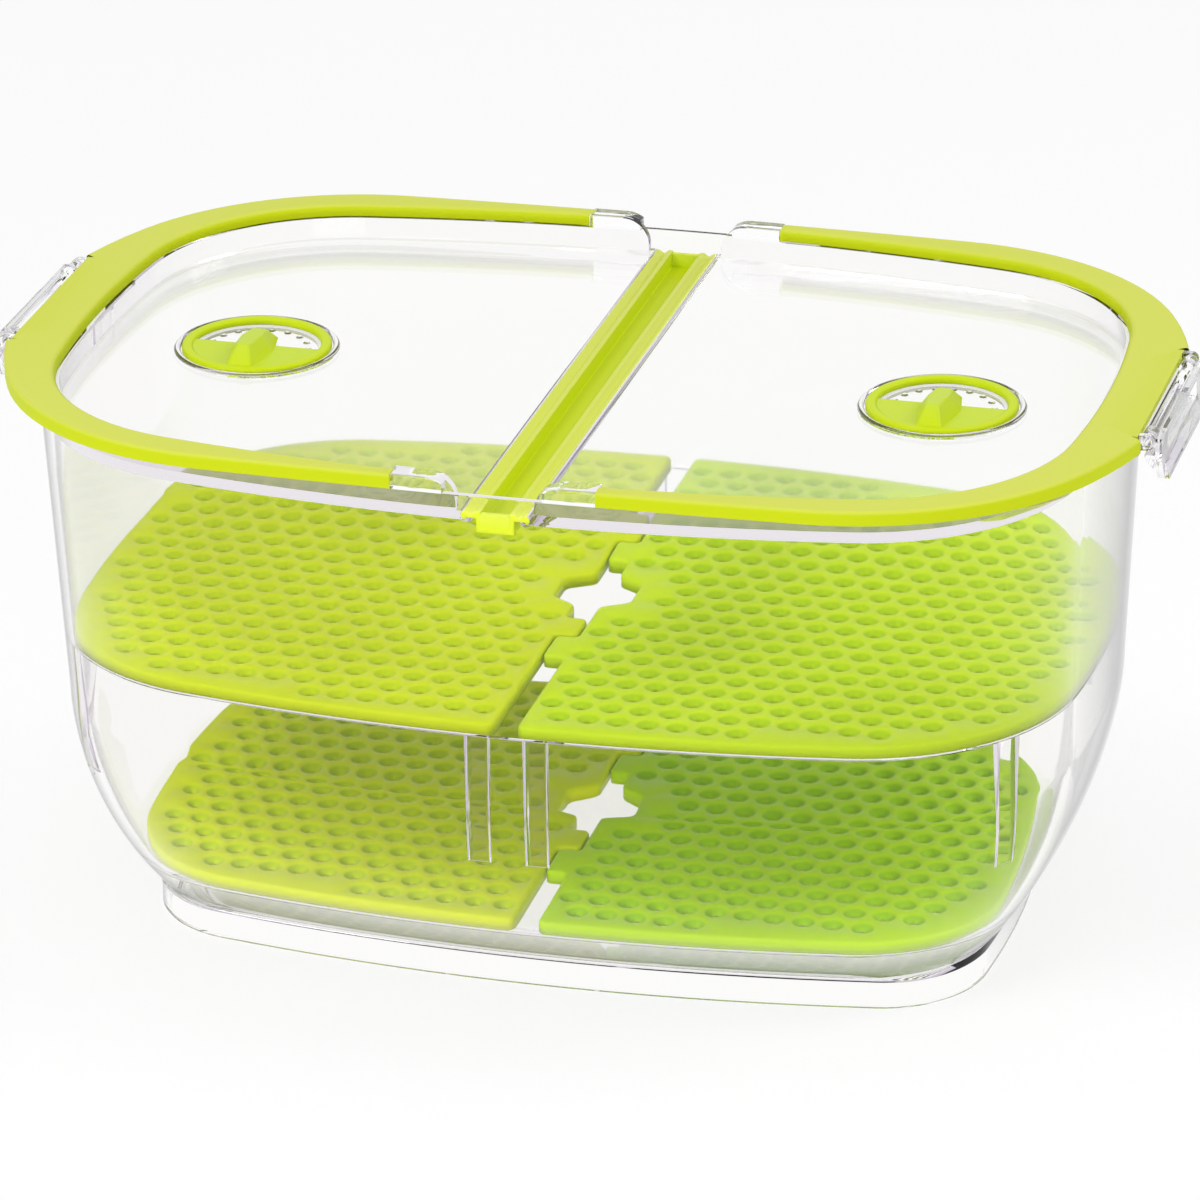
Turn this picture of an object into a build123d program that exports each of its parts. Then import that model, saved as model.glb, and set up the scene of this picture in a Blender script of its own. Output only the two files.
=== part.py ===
# Food keeper: clear tub, two-leaf lid, round vents, end latches and four lift-out trays.
# Millimetres, +Z up, origin at the bottom centre of the foot. The long side runs along X.
from math import asin, atan2, cos, degrees, hypot, pi, sin, sqrt
import os

from build123d import *

os.makedirs("parts", exist_ok=True)

# Tub outline at the rim, four bowed sides joined by round corners
rim_half_length = 155.6
rim_half_width = 109.6
rim_height = 167.2
side_bow_radius = 575.0
end_bow_radius = 397.0
# Tub outline where the curved lower body begins
end_draft = 4.1
side_draft = 7.2
tub_half_length = rim_half_length - end_draft
tub_half_width = rim_half_width - side_draft
corner_radius = 64.0
rim_corner_growth = 2.0
# Lower body: the wall curves inwards on a large radius until it meets the foot
belly_height = 75.0
belly_radius = 95.0
outer_steps = 4
inner_steps = 2
floor_under = 8.0
floor_thickness = 3.0
# Walls and ledges
upper_wall = 2.4
lower_wall = 4.2
ledge_height = 91.0
lower_ledge_height = 23.0
lower_ledge_width = 3.5
# Foot skirt
foot_end_inset = 25.0
foot_side_inset = 29.4
foot_half_length = tub_half_length - foot_end_inset
foot_half_width = tub_half_width - foot_side_inset
foot_corner_radius = 32.0
foot_wall = 2.6
foot_root = 10.0
# Upright pads that carry the upper trays
pad_width = 7.0
pad_depth = 3.4
pad_root = 51.0
pad_spacing = 17.0
pad_embed = 0.6
corner_pad_turn = 35.0
# End shelf that each latch closes against
shelf_overhang = 10.4
shelf_reach = rim_half_length + shelf_overhang
shelf_half_width = 33.0
shelf_thickness = 2.6
shelf_drop = 0.2
shelf_embed = 0.4

# Lid leaves
plug_clearance = 1.0
plug_wall = 2.6
panel_drop = 8.3
panel_under = rim_height - panel_drop
panel_thickness = 2.6
flange_end_overhang = 16.4
flange_side_overhang = 0.4
flange_half_length = rim_half_length + flange_end_overhang
flange_half_width = rim_half_width + flange_side_overhang
flange_side_radius = 2258.0
flange_end_radius = 143.0
flange_corner_radius = 81.7
lid_rise = 4.3
lid_top = rim_height + lid_rise
flange_plate = 2.4
flange_start = 14.4
shoulder_start = 11.2
shoulder_radius = 8.0
lid_hinge_x = 8.6
lid_hinge_drop = 7.0
lid_hinge_z = rim_height - lid_hinge_drop
hinge_bead_radius = 1.35
hinge_clearance = 0.05
hinge_lip_thickness = 0.9
hinge_lip_angle = 36.0
# How far a cutting shape runs past what it cuts
cut_margin = 10.0

# Soft rim seal laid over each lid flange
seal_start = 29.5
seal_outer_skirt = 1.6
seal_inner_skirt = 1.2
seal_inner_drop = 3.4
seal_edge_bevel = 0.6
seal_square_end = 1.0
seal_short_edge = 5.0

# Hinge strip between the leaves
strip_end_gap = 3.6
strip_half_length = rim_half_width - strip_end_gap
hinge_lip_shortfall = 1.0
hinge_lip_half_length = strip_half_length - hinge_lip_shortfall
strip_channel_half = 4.2
strip_wall = 1.3
strip_depth = 4.6
strip_floor = 1.6
strip_rise = 1.1
strip_top = lid_hinge_z + strip_rise
strip_end_wall = 1.6
strip_end_drop = 0.6
strip_web = 0.7
strip_web_slope = 1.4

# Latches
latch_cut = shelf_reach
latch_shelf_margin = 2.0
latch_half_width = shelf_half_width - latch_shelf_margin
latch_rod_reach = 2.5
latch_rod_rise = 2.2
latch_rod_x = latch_cut + latch_rod_reach
latch_rod_z = rim_height + latch_rod_rise
latch_rod_radius = 1.3
latch_bore_clearance = 0.06
latch_knuckle_radius = 2.2
latch_knuckle_width = 6.0
latch_knuckle_gap = 0.4
latch_lug_width = 2.6
latch_lug_radius = 2.1
latch_plate_gap = 0.6
latch_plate_thickness = 2.0
latch_top_rise = 0.6
latch_weld = 0.2
latch_length = 13.2
latch_under = latch_rod_z - latch_length
latch_corner_cut = 5.0
latch_corner_rise = 7.0
latch_window_half = 21.0
latch_window_drop = 1.5
latch_window_height = 4.7
latch_window_top = latch_rod_z - latch_window_drop
latch_window_under = latch_window_top - latch_window_height
latch_grip_drop = 5.0
latch_grip_flare = 1.4
latch_grip_edge = 1.2
latch_catch_gap = 0.25
latch_catch_play = 2.0
latch_catch_top = rim_height - shelf_drop - shelf_thickness - latch_catch_play
latch_catch_edge = 1.2
latch_catch_inset = 6.0

# Round vents
vent_inset = 53.0
vent_x = rim_half_length - vent_inset
vent_bore_radius = 18.0
vent_seat_radius = 24.3
vent_seat_depth = 1.6
vent_fit = 0.1
vent_plate = 1.0
vent_collar_radius = 22.4
vent_collar_rise = 0.7
vent_spindle_radius = 3.1
vent_spindle_fit = 0.08
vent_slot_length = 4.6
vent_slot_width = 3.0
vent_slot_circle = 12.0
vent_slot_count = 3
vent_slot_start = -135.0
vent_slot_range = 90.0
vent_mark_circle = 15.0
vent_mark_angles = (30, 58, 122, 150)
vent_mark_length = 2.4
vent_mark_width = 0.8
vent_mark_height = 0.25
dial_radius = 22.0
dial_ring_width = 3.2
dial_height = 2.0
dial_running_gap = 0.05
dial_floor_lift = 0.4
dial_floor_thickness = 0.9
dial_hub_radius = 5.0
dial_weld = 0.3
knob_front = 18.2
knob_back = 8.0
knob_width = 12.6
knob_front_width = 6.6
knob_back_width = 8.4
knob_shoulder = 3.6
knob_height = 6.2
knob_taper = 5.0
knob_bevel = 0.7
ring_seal_radius = 5.2
ring_seal_thickness = 1.6
ring_seal_gap = 0.05
retainer_radius = 8.0
retainer_sides = 6
retainer_thickness = 2.2

# Trays
tray_clearance = 0.5
tray_height = 4.0
tray_sheet = 1.6
tray_skirt = 1.8
tray_split = 3.5
tray_slot_length = 6.0
tray_slot_width = 3.2
tray_slot_pitch_x = 25.8
tray_slot_pitch_y = 47.1
tray_slot_margin = 12.0
slot_corner_least = 5.0
notch_half_width = 12.0
notch_depth = 8.0
notch_slope = 5.0
notch_border = 8.0
lug_centre = 34.0
lug_half_width = 7.0
lug_clearance = 0.6
lug_root = 1.0


# The corner arc's centre and its two tangent points for a bowed outline
def corner_of(half_length, half_width, side_radius, end_radius, round_radius):
    side_centre_y = half_width - side_radius
    end_centre_x = half_length - end_radius
    to_side = side_radius - round_radius
    to_end = end_radius - round_radius
    apart = hypot(end_centre_x, side_centre_y)
    along = (to_side**2 - to_end**2 + apart**2) / (2 * apart)
    across = sqrt(to_side**2 - along**2)
    ux = end_centre_x / apart
    uy = -side_centre_y / apart
    centre_x = along * ux + across * uy
    centre_y = side_centre_y + along * uy - across * ux
    if centre_x + centre_y < 0:
        centre_x = along * ux - across * uy
        centre_y = side_centre_y + along * uy + across * ux
    end_angle = atan2(centre_y, centre_x - end_centre_x)
    side_angle = atan2(centre_y - side_centre_y, centre_x)
    return centre_x, centre_y, end_angle, side_angle


# Closed outline of four bowed sides and four round corners, drawn in the open sketch
def bowed_outline(
    half_length, half_width, side_radius, end_radius, round_radius, mode=Mode.ADD
):
    cx, cy, end_angle, side_angle = corner_of(
        half_length, half_width, side_radius, end_radius, round_radius
    )
    mid_angle = (end_angle + side_angle) / 2
    end_point = (cx + round_radius * cos(end_angle), cy + round_radius * sin(end_angle))
    mid_point = (cx + round_radius * cos(mid_angle), cy + round_radius * sin(mid_angle))
    side_point = (cx + round_radius * cos(side_angle), cy + round_radius * sin(side_angle))
    with BuildLine() as outline:
        for sx, sy in ((1, 1), (-1, 1), (-1, -1), (1, -1)):
            ThreePointArc(
                (sx * end_point[0], sy * end_point[1]),
                (sx * mid_point[0], sy * mid_point[1]),
                (sx * side_point[0], sy * side_point[1]),
            )
        for sx in (1, -1):
            ThreePointArc(
                (sx * end_point[0], -end_point[1]),
                (sx * half_length, 0),
                (sx * end_point[0], end_point[1]),
            )
        for sy in (1, -1):
            ThreePointArc(
                (-side_point[0], sy * side_point[1]),
                (0, sy * half_width),
                (side_point[0], sy * side_point[1]),
            )
    make_face(outline.edges(), mode=mode)


# How far the curved part of the body is drawn in at a height
def belly_inset(height):
    drop = max(belly_height - height, 0.0)
    return belly_radius - sqrt(belly_radius**2 - drop**2)


# Outline of the tub body at a height on the curved part, drawn in by an extra amount
def body_outline(height, drawn_in=0.0):
    inset = belly_inset(height) + drawn_in
    bowed_outline(
        tub_half_length - inset,
        tub_half_width - inset,
        side_bow_radius - inset,
        end_bow_radius - inset,
        corner_radius - inset,
    )


# Outline of the tub at the rim, drawn in by an extra amount
def rim_outline(drawn_in=0.0):
    bowed_outline(
        rim_half_length - drawn_in,
        rim_half_width - drawn_in,
        side_bow_radius - drawn_in,
        end_bow_radius - drawn_in,
        corner_radius + rim_corner_growth - drawn_in,
    )


# Outline between the widest body and the rim, drawn in by an extra amount
def wall_outline(height, drawn_in=0.0):
    share = (height - belly_height) / (rim_height - belly_height)
    bowed_outline(
        tub_half_length + share * (rim_half_length - tub_half_length) - drawn_in,
        tub_half_width + share * (rim_half_width - tub_half_width) - drawn_in,
        side_bow_radius - drawn_in,
        end_bow_radius - drawn_in,
        corner_radius + rim_corner_growth * share - drawn_in,
    )


# Lid flange outline, drawn in by an extra amount
def flange_outline(drawn_in=0.0, mode=Mode.ADD):
    bowed_outline(
        flange_half_length - drawn_in,
        flange_half_width - drawn_in,
        flange_side_radius - drawn_in,
        flange_end_radius - drawn_in,
        flange_corner_radius - drawn_in,
        mode,
    )


# Stands tapered slices on each other up the curved part, at even steps of the wall's slope
def belly_slices(lowest, steps, drawn_in, mode):
    steepest = asin((belly_height - lowest) / belly_radius)
    levels = [belly_height - belly_radius * sin(steepest * (1 - i / steps)) for i in range(steps)]
    levels.append(belly_height)
    for low, high in zip(levels, levels[1:]):
        lean = degrees(atan2(belly_inset(low) - belly_inset(high), high - low))
        with BuildSketch(Plane.XY.offset(low)) as section:
            body_outline(low, drawn_in)
        extrude(section.sketch, amount=high - low, taper=-lean, mode=mode)


# Tub: outer body, foot, cavities, ledges, pads and latch shelves
with BuildPart() as tub:
    belly_slices(floor_under, outer_steps, 0.0, Mode.ADD)
    with BuildSketch(Plane.XY.offset(belly_height)):
        wall_outline(belly_height)
    with BuildSketch(Plane.XY.offset(rim_height)):
        rim_outline()
    loft(ruled=True)
    with BuildSketch(Plane.XY):
        bowed_outline(
            foot_half_length,
            foot_half_width,
            side_bow_radius,
            end_bow_radius,
            foot_corner_radius,
        )
    extrude(amount=foot_root)
    with BuildSketch(Plane.XY):
        bowed_outline(
            foot_half_length - foot_wall,
            foot_half_width - foot_wall,
            side_bow_radius - foot_wall,
            end_bow_radius - foot_wall,
            foot_corner_radius - foot_wall,
        )
    extrude(amount=floor_under, mode=Mode.SUBTRACT)
    with BuildSketch(Plane.XY.offset(floor_under + floor_thickness)):
        body_outline(floor_under + floor_thickness, lower_wall)
    with BuildSketch(Plane.XY.offset(lower_ledge_height)):
        body_outline(lower_ledge_height, lower_wall + lower_ledge_width)
    loft(ruled=True, mode=Mode.SUBTRACT)
    belly_slices(lower_ledge_height, inner_steps, lower_wall, Mode.SUBTRACT)
    with BuildSketch(Plane.XY.offset(belly_height)):
        wall_outline(belly_height, lower_wall)
    with BuildSketch(Plane.XY.offset(ledge_height)):
        wall_outline(ledge_height, lower_wall)
    loft(ruled=True, mode=Mode.SUBTRACT)
    with BuildSketch(Plane.XY.offset(ledge_height)):
        wall_outline(ledge_height, upper_wall)
    with BuildSketch(Plane.XY.offset(rim_height)):
        rim_outline(upper_wall)
    loft(ruled=True, mode=Mode.SUBTRACT)
    pad_face_y = tub_half_width - lower_wall - pad_depth + pad_embed
    pad_height = ledge_height - pad_root
    for sx in (-1, 1):
        for sy in (-1, 1):
            with Locations((sx * pad_spacing / 2, sy * (pad_face_y + pad_depth / 2), pad_root)):
                Box(
                    pad_width,
                    pad_depth,
                    pad_height,
                    align=(Align.CENTER, Align.CENTER, Align.MIN),
                )
            cx, cy, end_angle, side_angle = corner_of(
                tub_half_length, tub_half_width, side_bow_radius, end_bow_radius, corner_radius
            )
            reach = corner_radius - lower_wall - pad_depth / 2 + pad_embed
            turn = corner_pad_turn * pi / 180
            pad_x = cx + reach * cos(turn)
            pad_y = cy + reach * sin(turn)
            pad_turn = degrees(atan2(sy * sin(turn), sx * cos(turn)))
            with Locations(Location((sx * pad_x, sy * pad_y, pad_root), (0, 0, pad_turn))):
                Box(
                    pad_depth,
                    pad_width,
                    pad_height,
                    align=(Align.CENTER, Align.CENTER, Align.MIN),
                )
    for sx in (-1, 1):
        shelf_inner = rim_half_length - upper_wall + shelf_embed
        with Locations((sx * (shelf_inner + shelf_reach) / 2, 0, rim_height - shelf_drop)):
            Box(
                shelf_reach - shelf_inner,
                2 * shelf_half_width,
                shelf_thickness,
                align=(Align.CENTER, Align.CENTER, Align.MAX),
            )

panel_top = panel_under + panel_thickness
plug_inset = upper_wall + plug_clearance
well_inset = plug_inset + plug_wall
seat_z = panel_top - vent_seat_depth
span = flange_half_length + cut_margin
flange_top = rim_height + flange_plate
end_cut_half = latch_half_width + latch_knuckle_gap + latch_lug_width + latch_knuckle_gap
lug_y = latch_half_width + latch_knuckle_gap + latch_lug_width / 2


# Keeps a sketch only beyond a line across the lid
def keep_beyond(start):
    with Locations((start, 0)):
        Rectangle(2 * span, 2 * span, align=(Align.MAX, Align.CENTER), mode=Mode.SUBTRACT)


# Right rim seal: a soft channel over the lid flange, open underneath
with BuildPart() as rim_seal_right:
    with BuildSketch(Plane.XY.offset(rim_height)):
        flange_outline()
    extrude(amount=lid_top - rim_height)
    with BuildSketch(Plane.XY.offset(rim_height)):
        flange_outline(seal_outer_skirt)
        with Locations((latch_cut - seal_outer_skirt, 0)):
            Rectangle(
                span, 2 * latch_half_width, align=(Align.MIN, Align.CENTER), mode=Mode.SUBTRACT
            )
    extrude(amount=flange_plate, mode=Mode.SUBTRACT)
    with BuildSketch(Plane.XY.offset(lid_top - seal_inner_drop)):
        rim_outline(well_inset - seal_inner_skirt)
    extrude(amount=seal_inner_drop)
    with BuildSketch(Plane.XY.offset(panel_under)):
        rim_outline(well_inset)
    extrude(amount=2 * (lid_top - panel_under), mode=Mode.SUBTRACT)
    with Locations((seal_start, 0, panel_under)):
        Box(
            2 * span,
            2 * span,
            2 * span,
            align=(Align.MAX, Align.CENTER, Align.MIN),
            mode=Mode.SUBTRACT,
        )
    with Locations((latch_cut, 0, panel_under)):
        Box(
            span,
            2 * end_cut_half,
            2 * span,
            align=(Align.MIN, Align.CENTER, Align.MIN),
            mode=Mode.SUBTRACT,
        )
    top_edges = rim_seal_right.faces().sort_by(Axis.Z)[-1].edges()
    bevelled = top_edges.filter_by(
        lambda e: e.length > seal_short_edge and e.center().X > seal_start + seal_square_end
    )
    chamfer(bevelled, seal_edge_bevel)

# Right lid leaf: panel, plug wall, flange, shouldered ends, latch rod and vent seat
with BuildPart() as lid_right:
    with BuildSketch(Plane.XY.offset(panel_under)):
        rim_outline(plug_inset)
    extrude(amount=lid_top - panel_under)
    with BuildSketch(Plane.XY.offset(rim_height)):
        flange_outline()
        keep_beyond(flange_start)
    extrude(amount=lid_top - rim_height)
    with BuildSketch(Plane.XY.offset(panel_top)):
        rim_outline(well_inset)
    extrude(amount=lid_top, mode=Mode.SUBTRACT)
    with BuildSketch(Plane.XY.offset(lid_top - seal_inner_drop)):
        rim_outline(well_inset - seal_inner_skirt)
        keep_beyond(seal_start)
    extrude(amount=lid_top, mode=Mode.SUBTRACT)
    with BuildSketch(Plane.XY.offset(flange_top)):
        Rectangle(2 * span, 2 * span)
        keep_beyond(seal_start)
    extrude(amount=lid_top, mode=Mode.SUBTRACT)
    with BuildSketch(Plane.XY.offset(rim_height)):
        Rectangle(2 * span, 2 * span)
        flange_outline(seal_outer_skirt, Mode.SUBTRACT)
        keep_beyond(seal_start)
    extrude(amount=lid_top, mode=Mode.SUBTRACT)
    # the wall and the flange stop at a rounded shoulder beside the hinge strip
    shoulder_end = shoulder_start + shoulder_radius
    shoulder_side = shoulder_radius * (1 - sqrt(0.5))
    with BuildSketch(Plane.XZ.offset(-span)):
        with BuildLine():
            Polyline(
                (shoulder_start, lid_top - shoulder_radius),
                (shoulder_start, panel_top),
                (-span, panel_top),
                (-span, lid_top + cut_margin),
                (shoulder_end, lid_top + cut_margin),
                (shoulder_end, lid_top),
            )
            ThreePointArc(
                (shoulder_end, lid_top),
                (shoulder_start + shoulder_side, lid_top - shoulder_side),
                (shoulder_start, lid_top - shoulder_radius),
            )
        make_face()
    extrude(amount=2 * span, mode=Mode.SUBTRACT)
    # the panel ends on the hinge bead's centre line, with a lip that wraps under the bead
    with Locations((lid_hinge_x, 0, 0)):
        Box(
            2 * span,
            2 * span,
            2 * span,
            align=(Align.MAX, Align.CENTER, Align.CENTER),
            mode=Mode.SUBTRACT,
        )
    lip_radius = hinge_bead_radius + hinge_clearance + hinge_lip_thickness
    lip_slope = hinge_lip_angle * pi / 180
    with BuildSketch(Plane.XZ.offset(-hinge_lip_half_length)):
        with Locations((lid_hinge_x, lid_hinge_z)):
            Circle(lip_radius)
        with BuildLine():
            Polyline(
                (lid_hinge_x, lid_hinge_z),
                (
                    lid_hinge_x - 2 * lip_radius * cos(lip_slope),
                    lid_hinge_z - 2 * lip_radius * sin(lip_slope),
                ),
                (lid_hinge_x - 2 * lip_radius, lid_hinge_z + 2 * lip_radius),
                (lid_hinge_x + 2 * lip_radius, lid_hinge_z + 2 * lip_radius),
                (lid_hinge_x + 2 * lip_radius, lid_hinge_z),
                close=True,
            )
        make_face(mode=Mode.SUBTRACT)
    extrude(amount=2 * hinge_lip_half_length)
    with Locations(Location((lid_hinge_x, 0, lid_hinge_z), (90, 0, 0))):
        Cylinder(hinge_bead_radius + hinge_clearance, 2 * span, mode=Mode.SUBTRACT)
    # straight end with the rod that the latch turns on
    with Locations((latch_cut, 0, rim_height)):
        Box(
            span,
            2 * end_cut_half,
            lid_top,
            align=(Align.MIN, Align.CENTER, Align.MIN),
            mode=Mode.SUBTRACT,
        )
    with Locations((latch_cut - seal_outer_skirt, 0, rim_height)):
        Box(
            span,
            2 * latch_half_width,
            lid_top,
            align=(Align.MIN, Align.CENTER, Align.MIN),
            mode=Mode.SUBTRACT,
        )
    for sy in (-1, 1):
        with Locations((latch_cut, sy * lug_y, latch_rod_z)):
            Box(
                latch_rod_x - latch_cut,
                latch_lug_width,
                2 * latch_lug_radius,
                align=(Align.MIN, Align.CENTER, Align.CENTER),
            )
        with Locations(Location((latch_rod_x, sy * lug_y, latch_rod_z), (90, 0, 0))):
            Cylinder(latch_lug_radius, latch_lug_width)
    with Locations(Location((latch_rod_x, 0, latch_rod_z), (90, 0, 0))):
        Cylinder(latch_rod_radius, 2 * lug_y)
    with Locations((vent_x, 0, seat_z)):
        Cylinder(
            vent_seat_radius,
            lid_top,
            align=(Align.CENTER, Align.CENTER, Align.MIN),
            mode=Mode.SUBTRACT,
        )
        Cylinder(vent_bore_radius, 4 * panel_thickness, mode=Mode.SUBTRACT)

with BuildPart() as lid_left:
    mirror(lid_right.part, about=Plane.YZ)
with BuildPart() as rim_seal_left:
    mirror(rim_seal_right.part, about=Plane.YZ)

# Hinge strip: a soft channel with a round bead along each edge that the leaves turn on
with BuildPart() as hinge_strip:
    channel_outer = strip_channel_half + strip_wall
    channel_floor = strip_top - strip_depth
    with BuildSketch(Plane.XZ.offset(-strip_half_length)):
        with BuildLine():
            Polyline(
                (0, channel_floor - strip_floor),
                (channel_outer, channel_floor - strip_floor),
                (channel_outer, lid_hinge_z - strip_web),
                (lid_hinge_x, lid_hinge_z - strip_web),
                (lid_hinge_x, lid_hinge_z),
                (channel_outer + strip_web_slope, lid_hinge_z),
                (channel_outer, strip_top),
                (strip_channel_half, strip_top),
                (strip_channel_half, channel_floor),
                (0, channel_floor),
                close=True,
            )
        make_face()
        with Locations((lid_hinge_x, lid_hinge_z)):
            Circle(hinge_bead_radius)
        mirror(about=Plane.YZ)
    extrude(amount=2 * strip_half_length)
    for sy in (-1, 1):
        with Locations((0, sy * (strip_half_length - strip_end_wall / 2), channel_floor)):
            Box(
                2 * strip_channel_half,
                strip_end_wall,
                strip_depth - strip_end_drop,
                align=(Align.CENTER, Align.CENTER, Align.MIN),
            )

# Right latch: two knuckles on the lid's rod, a windowed plate, a grip and a catch
with BuildPart() as latch_right:
    plate_inner = latch_rod_x + latch_rod_radius + latch_plate_gap
    plate_outer = plate_inner + latch_plate_thickness
    plate_top = latch_rod_z + latch_top_rise
    with BuildSketch(Plane.YZ.offset(plate_inner)):
        with BuildLine():
            Polyline(
                (-latch_half_width, plate_top),
                (latch_half_width, plate_top),
                (latch_half_width, latch_under + latch_corner_rise),
                (latch_half_width - latch_corner_cut, latch_under),
                (latch_corner_cut - latch_half_width, latch_under),
                (-latch_half_width, latch_under + latch_corner_rise),
                close=True,
            )
        make_face()
        window_middle = (latch_window_top + latch_window_under) / 2
        with Locations((0, window_middle)):
            Rectangle(
                2 * latch_window_half,
                latch_window_top - latch_window_under,
                mode=Mode.SUBTRACT,
            )
    extrude(amount=latch_plate_thickness)
    with BuildSketch(Plane.XZ.offset(latch_corner_cut - latch_half_width)):
        with BuildLine():
            Polyline(
                (plate_inner + latch_weld, latch_under),
                (plate_outer + latch_grip_flare, latch_under),
                (plate_outer + latch_grip_flare, latch_under + latch_grip_edge),
                (plate_outer, latch_under + latch_grip_drop),
                (plate_inner + latch_weld, latch_under + latch_grip_drop),
                close=True,
            )
        make_face()
    extrude(amount=2 * (latch_half_width - latch_corner_cut))
    with BuildSketch(Plane.XZ.offset(latch_catch_inset - latch_half_width)):
        with BuildLine():
            Polyline(
                (plate_inner + latch_weld, latch_catch_top),
                (shelf_reach + latch_catch_gap, latch_catch_top),
                (shelf_reach + latch_catch_gap, latch_catch_top - latch_catch_edge),
                (plate_inner + latch_weld, latch_under),
                close=True,
            )
        make_face()
    extrude(amount=2 * (latch_half_width - latch_catch_inset))
    for sy in (-1, 1):
        knuckle_y = sy * (latch_half_width - latch_knuckle_width / 2)
        with Locations((latch_rod_x, knuckle_y, latch_rod_z - latch_knuckle_radius)):
            Box(
                plate_inner - latch_rod_x + latch_weld,
                latch_knuckle_width,
                latch_knuckle_radius + latch_top_rise,
                align=(Align.MIN, Align.CENTER, Align.MIN),
            )
        with Locations(Location((latch_rod_x, knuckle_y, latch_rod_z), (90, 0, 0))):
            Cylinder(latch_knuckle_radius, latch_knuckle_width)
    with Locations(Location((latch_rod_x, 0, latch_rod_z), (90, 0, 0))):
        Cylinder(
            latch_rod_radius + latch_bore_clearance,
            2 * latch_half_width + cut_margin,
            mode=Mode.SUBTRACT,
        )

with BuildPart() as latch_left:
    mirror(latch_right.part, about=Plane.YZ)

# Vent pieces are drawn about the vent's own centre line and placed on each leaf after
base_top = seat_z + vent_plate
with BuildPart() as vent_base:
    with Locations((0, 0, seat_z)):
        Cylinder(
            vent_seat_radius - vent_fit,
            panel_top + vent_collar_rise - seat_z,
            align=(Align.CENTER, Align.CENTER, Align.MIN),
        )
    with Locations((0, 0, base_top)):
        Cylinder(
            vent_collar_radius,
            lid_top,
            align=(Align.CENTER, Align.CENTER, Align.MIN),
            mode=Mode.SUBTRACT,
        )
    with Locations((0, 0, seat_z)):
        Cylinder(vent_spindle_radius + vent_spindle_fit, 4 * vent_plate, mode=Mode.SUBTRACT)
        with PolarLocations(
            vent_slot_circle,
            vent_slot_count,
            start_angle=vent_slot_start,
            angular_range=vent_slot_range,
        ):
            Box(vent_slot_width, vent_slot_length, 4 * vent_plate, mode=Mode.SUBTRACT)
    for angle in vent_mark_angles:
        tick_x = vent_mark_circle * cos(angle * pi / 180)
        tick_y = vent_mark_circle * sin(angle * pi / 180)
        with Locations(Location((tick_x, tick_y, base_top), (0, 0, angle))):
            Box(
                vent_mark_length,
                vent_mark_width,
                vent_mark_height,
                align=(Align.CENTER, Align.CENTER, Align.MIN),
            )

dial_floor_top = base_top + dial_floor_lift + dial_floor_thickness
ring_seal_top = seat_z - ring_seal_gap
retainer_top = ring_seal_top - ring_seal_thickness
spindle_end = retainer_top - retainer_thickness
with BuildPart() as vent_dial:
    with BuildSketch(Plane.XY.offset(base_top + dial_running_gap)):
        Circle(dial_radius)
        Circle(dial_radius - dial_ring_width, mode=Mode.SUBTRACT)
    extrude(amount=dial_height)
    with BuildSketch(Plane.XY.offset(base_top + dial_floor_lift)):
        Circle(dial_radius - dial_ring_width + dial_weld)
        Rectangle(
            4 * dial_radius,
            4 * dial_radius,
            align=(Align.CENTER, Align.MIN),
            mode=Mode.SUBTRACT,
        )
        Circle(dial_hub_radius)
    extrude(amount=dial_floor_thickness)
    with BuildSketch(Plane.XY.offset(dial_floor_top - dial_weld)):
        with BuildLine():
            Polyline(
                (knob_front_width / 2, -knob_front),
                (knob_width / 2, -knob_shoulder),
                (knob_back_width / 2, knob_back),
                (-knob_back_width / 2, knob_back),
                (-knob_width / 2, -knob_shoulder),
                (-knob_front_width / 2, -knob_front),
                close=True,
            )
        make_face()
    extrude(amount=knob_height + dial_weld, taper=knob_taper)
    chamfer(vent_dial.faces().sort_by(Axis.Z)[-1].edges(), knob_bevel)
    with Locations((0, 0, dial_floor_top)):
        Cylinder(
            vent_spindle_radius,
            dial_floor_top - spindle_end,
            align=(Align.CENTER, Align.CENTER, Align.MAX),
        )

with BuildPart() as vent_ring_seal:
    with Locations((0, 0, ring_seal_top)):
        Cylinder(
            ring_seal_radius,
            ring_seal_thickness,
            align=(Align.CENTER, Align.CENTER, Align.MAX),
        )
        Cylinder(vent_spindle_radius + ring_seal_gap, 3 * ring_seal_thickness, mode=Mode.SUBTRACT)

with BuildPart() as vent_retainer:
    with BuildSketch(Plane.XY.offset(retainer_top)):
        RegularPolygon(retainer_radius, retainer_sides)
        Circle(vent_spindle_radius, mode=Mode.SUBTRACT)
    extrude(amount=-retainer_thickness)


# True where a point lies inside a bowed outline
def inside_outline(x, y, half_length, half_width, side_radius, end_radius, round_radius):
    x, y = abs(x), abs(y)
    cx, cy, end_angle, side_angle = corner_of(
        half_length, half_width, side_radius, end_radius, round_radius
    )
    angle = atan2(y - cy, x - cx)
    if end_angle < angle < side_angle:
        return hypot(x - cx, y - cy) < round_radius
    if hypot(x, y - half_width + side_radius) > side_radius:
        return False
    return hypot(x - half_length + end_radius, y) < end_radius


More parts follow.
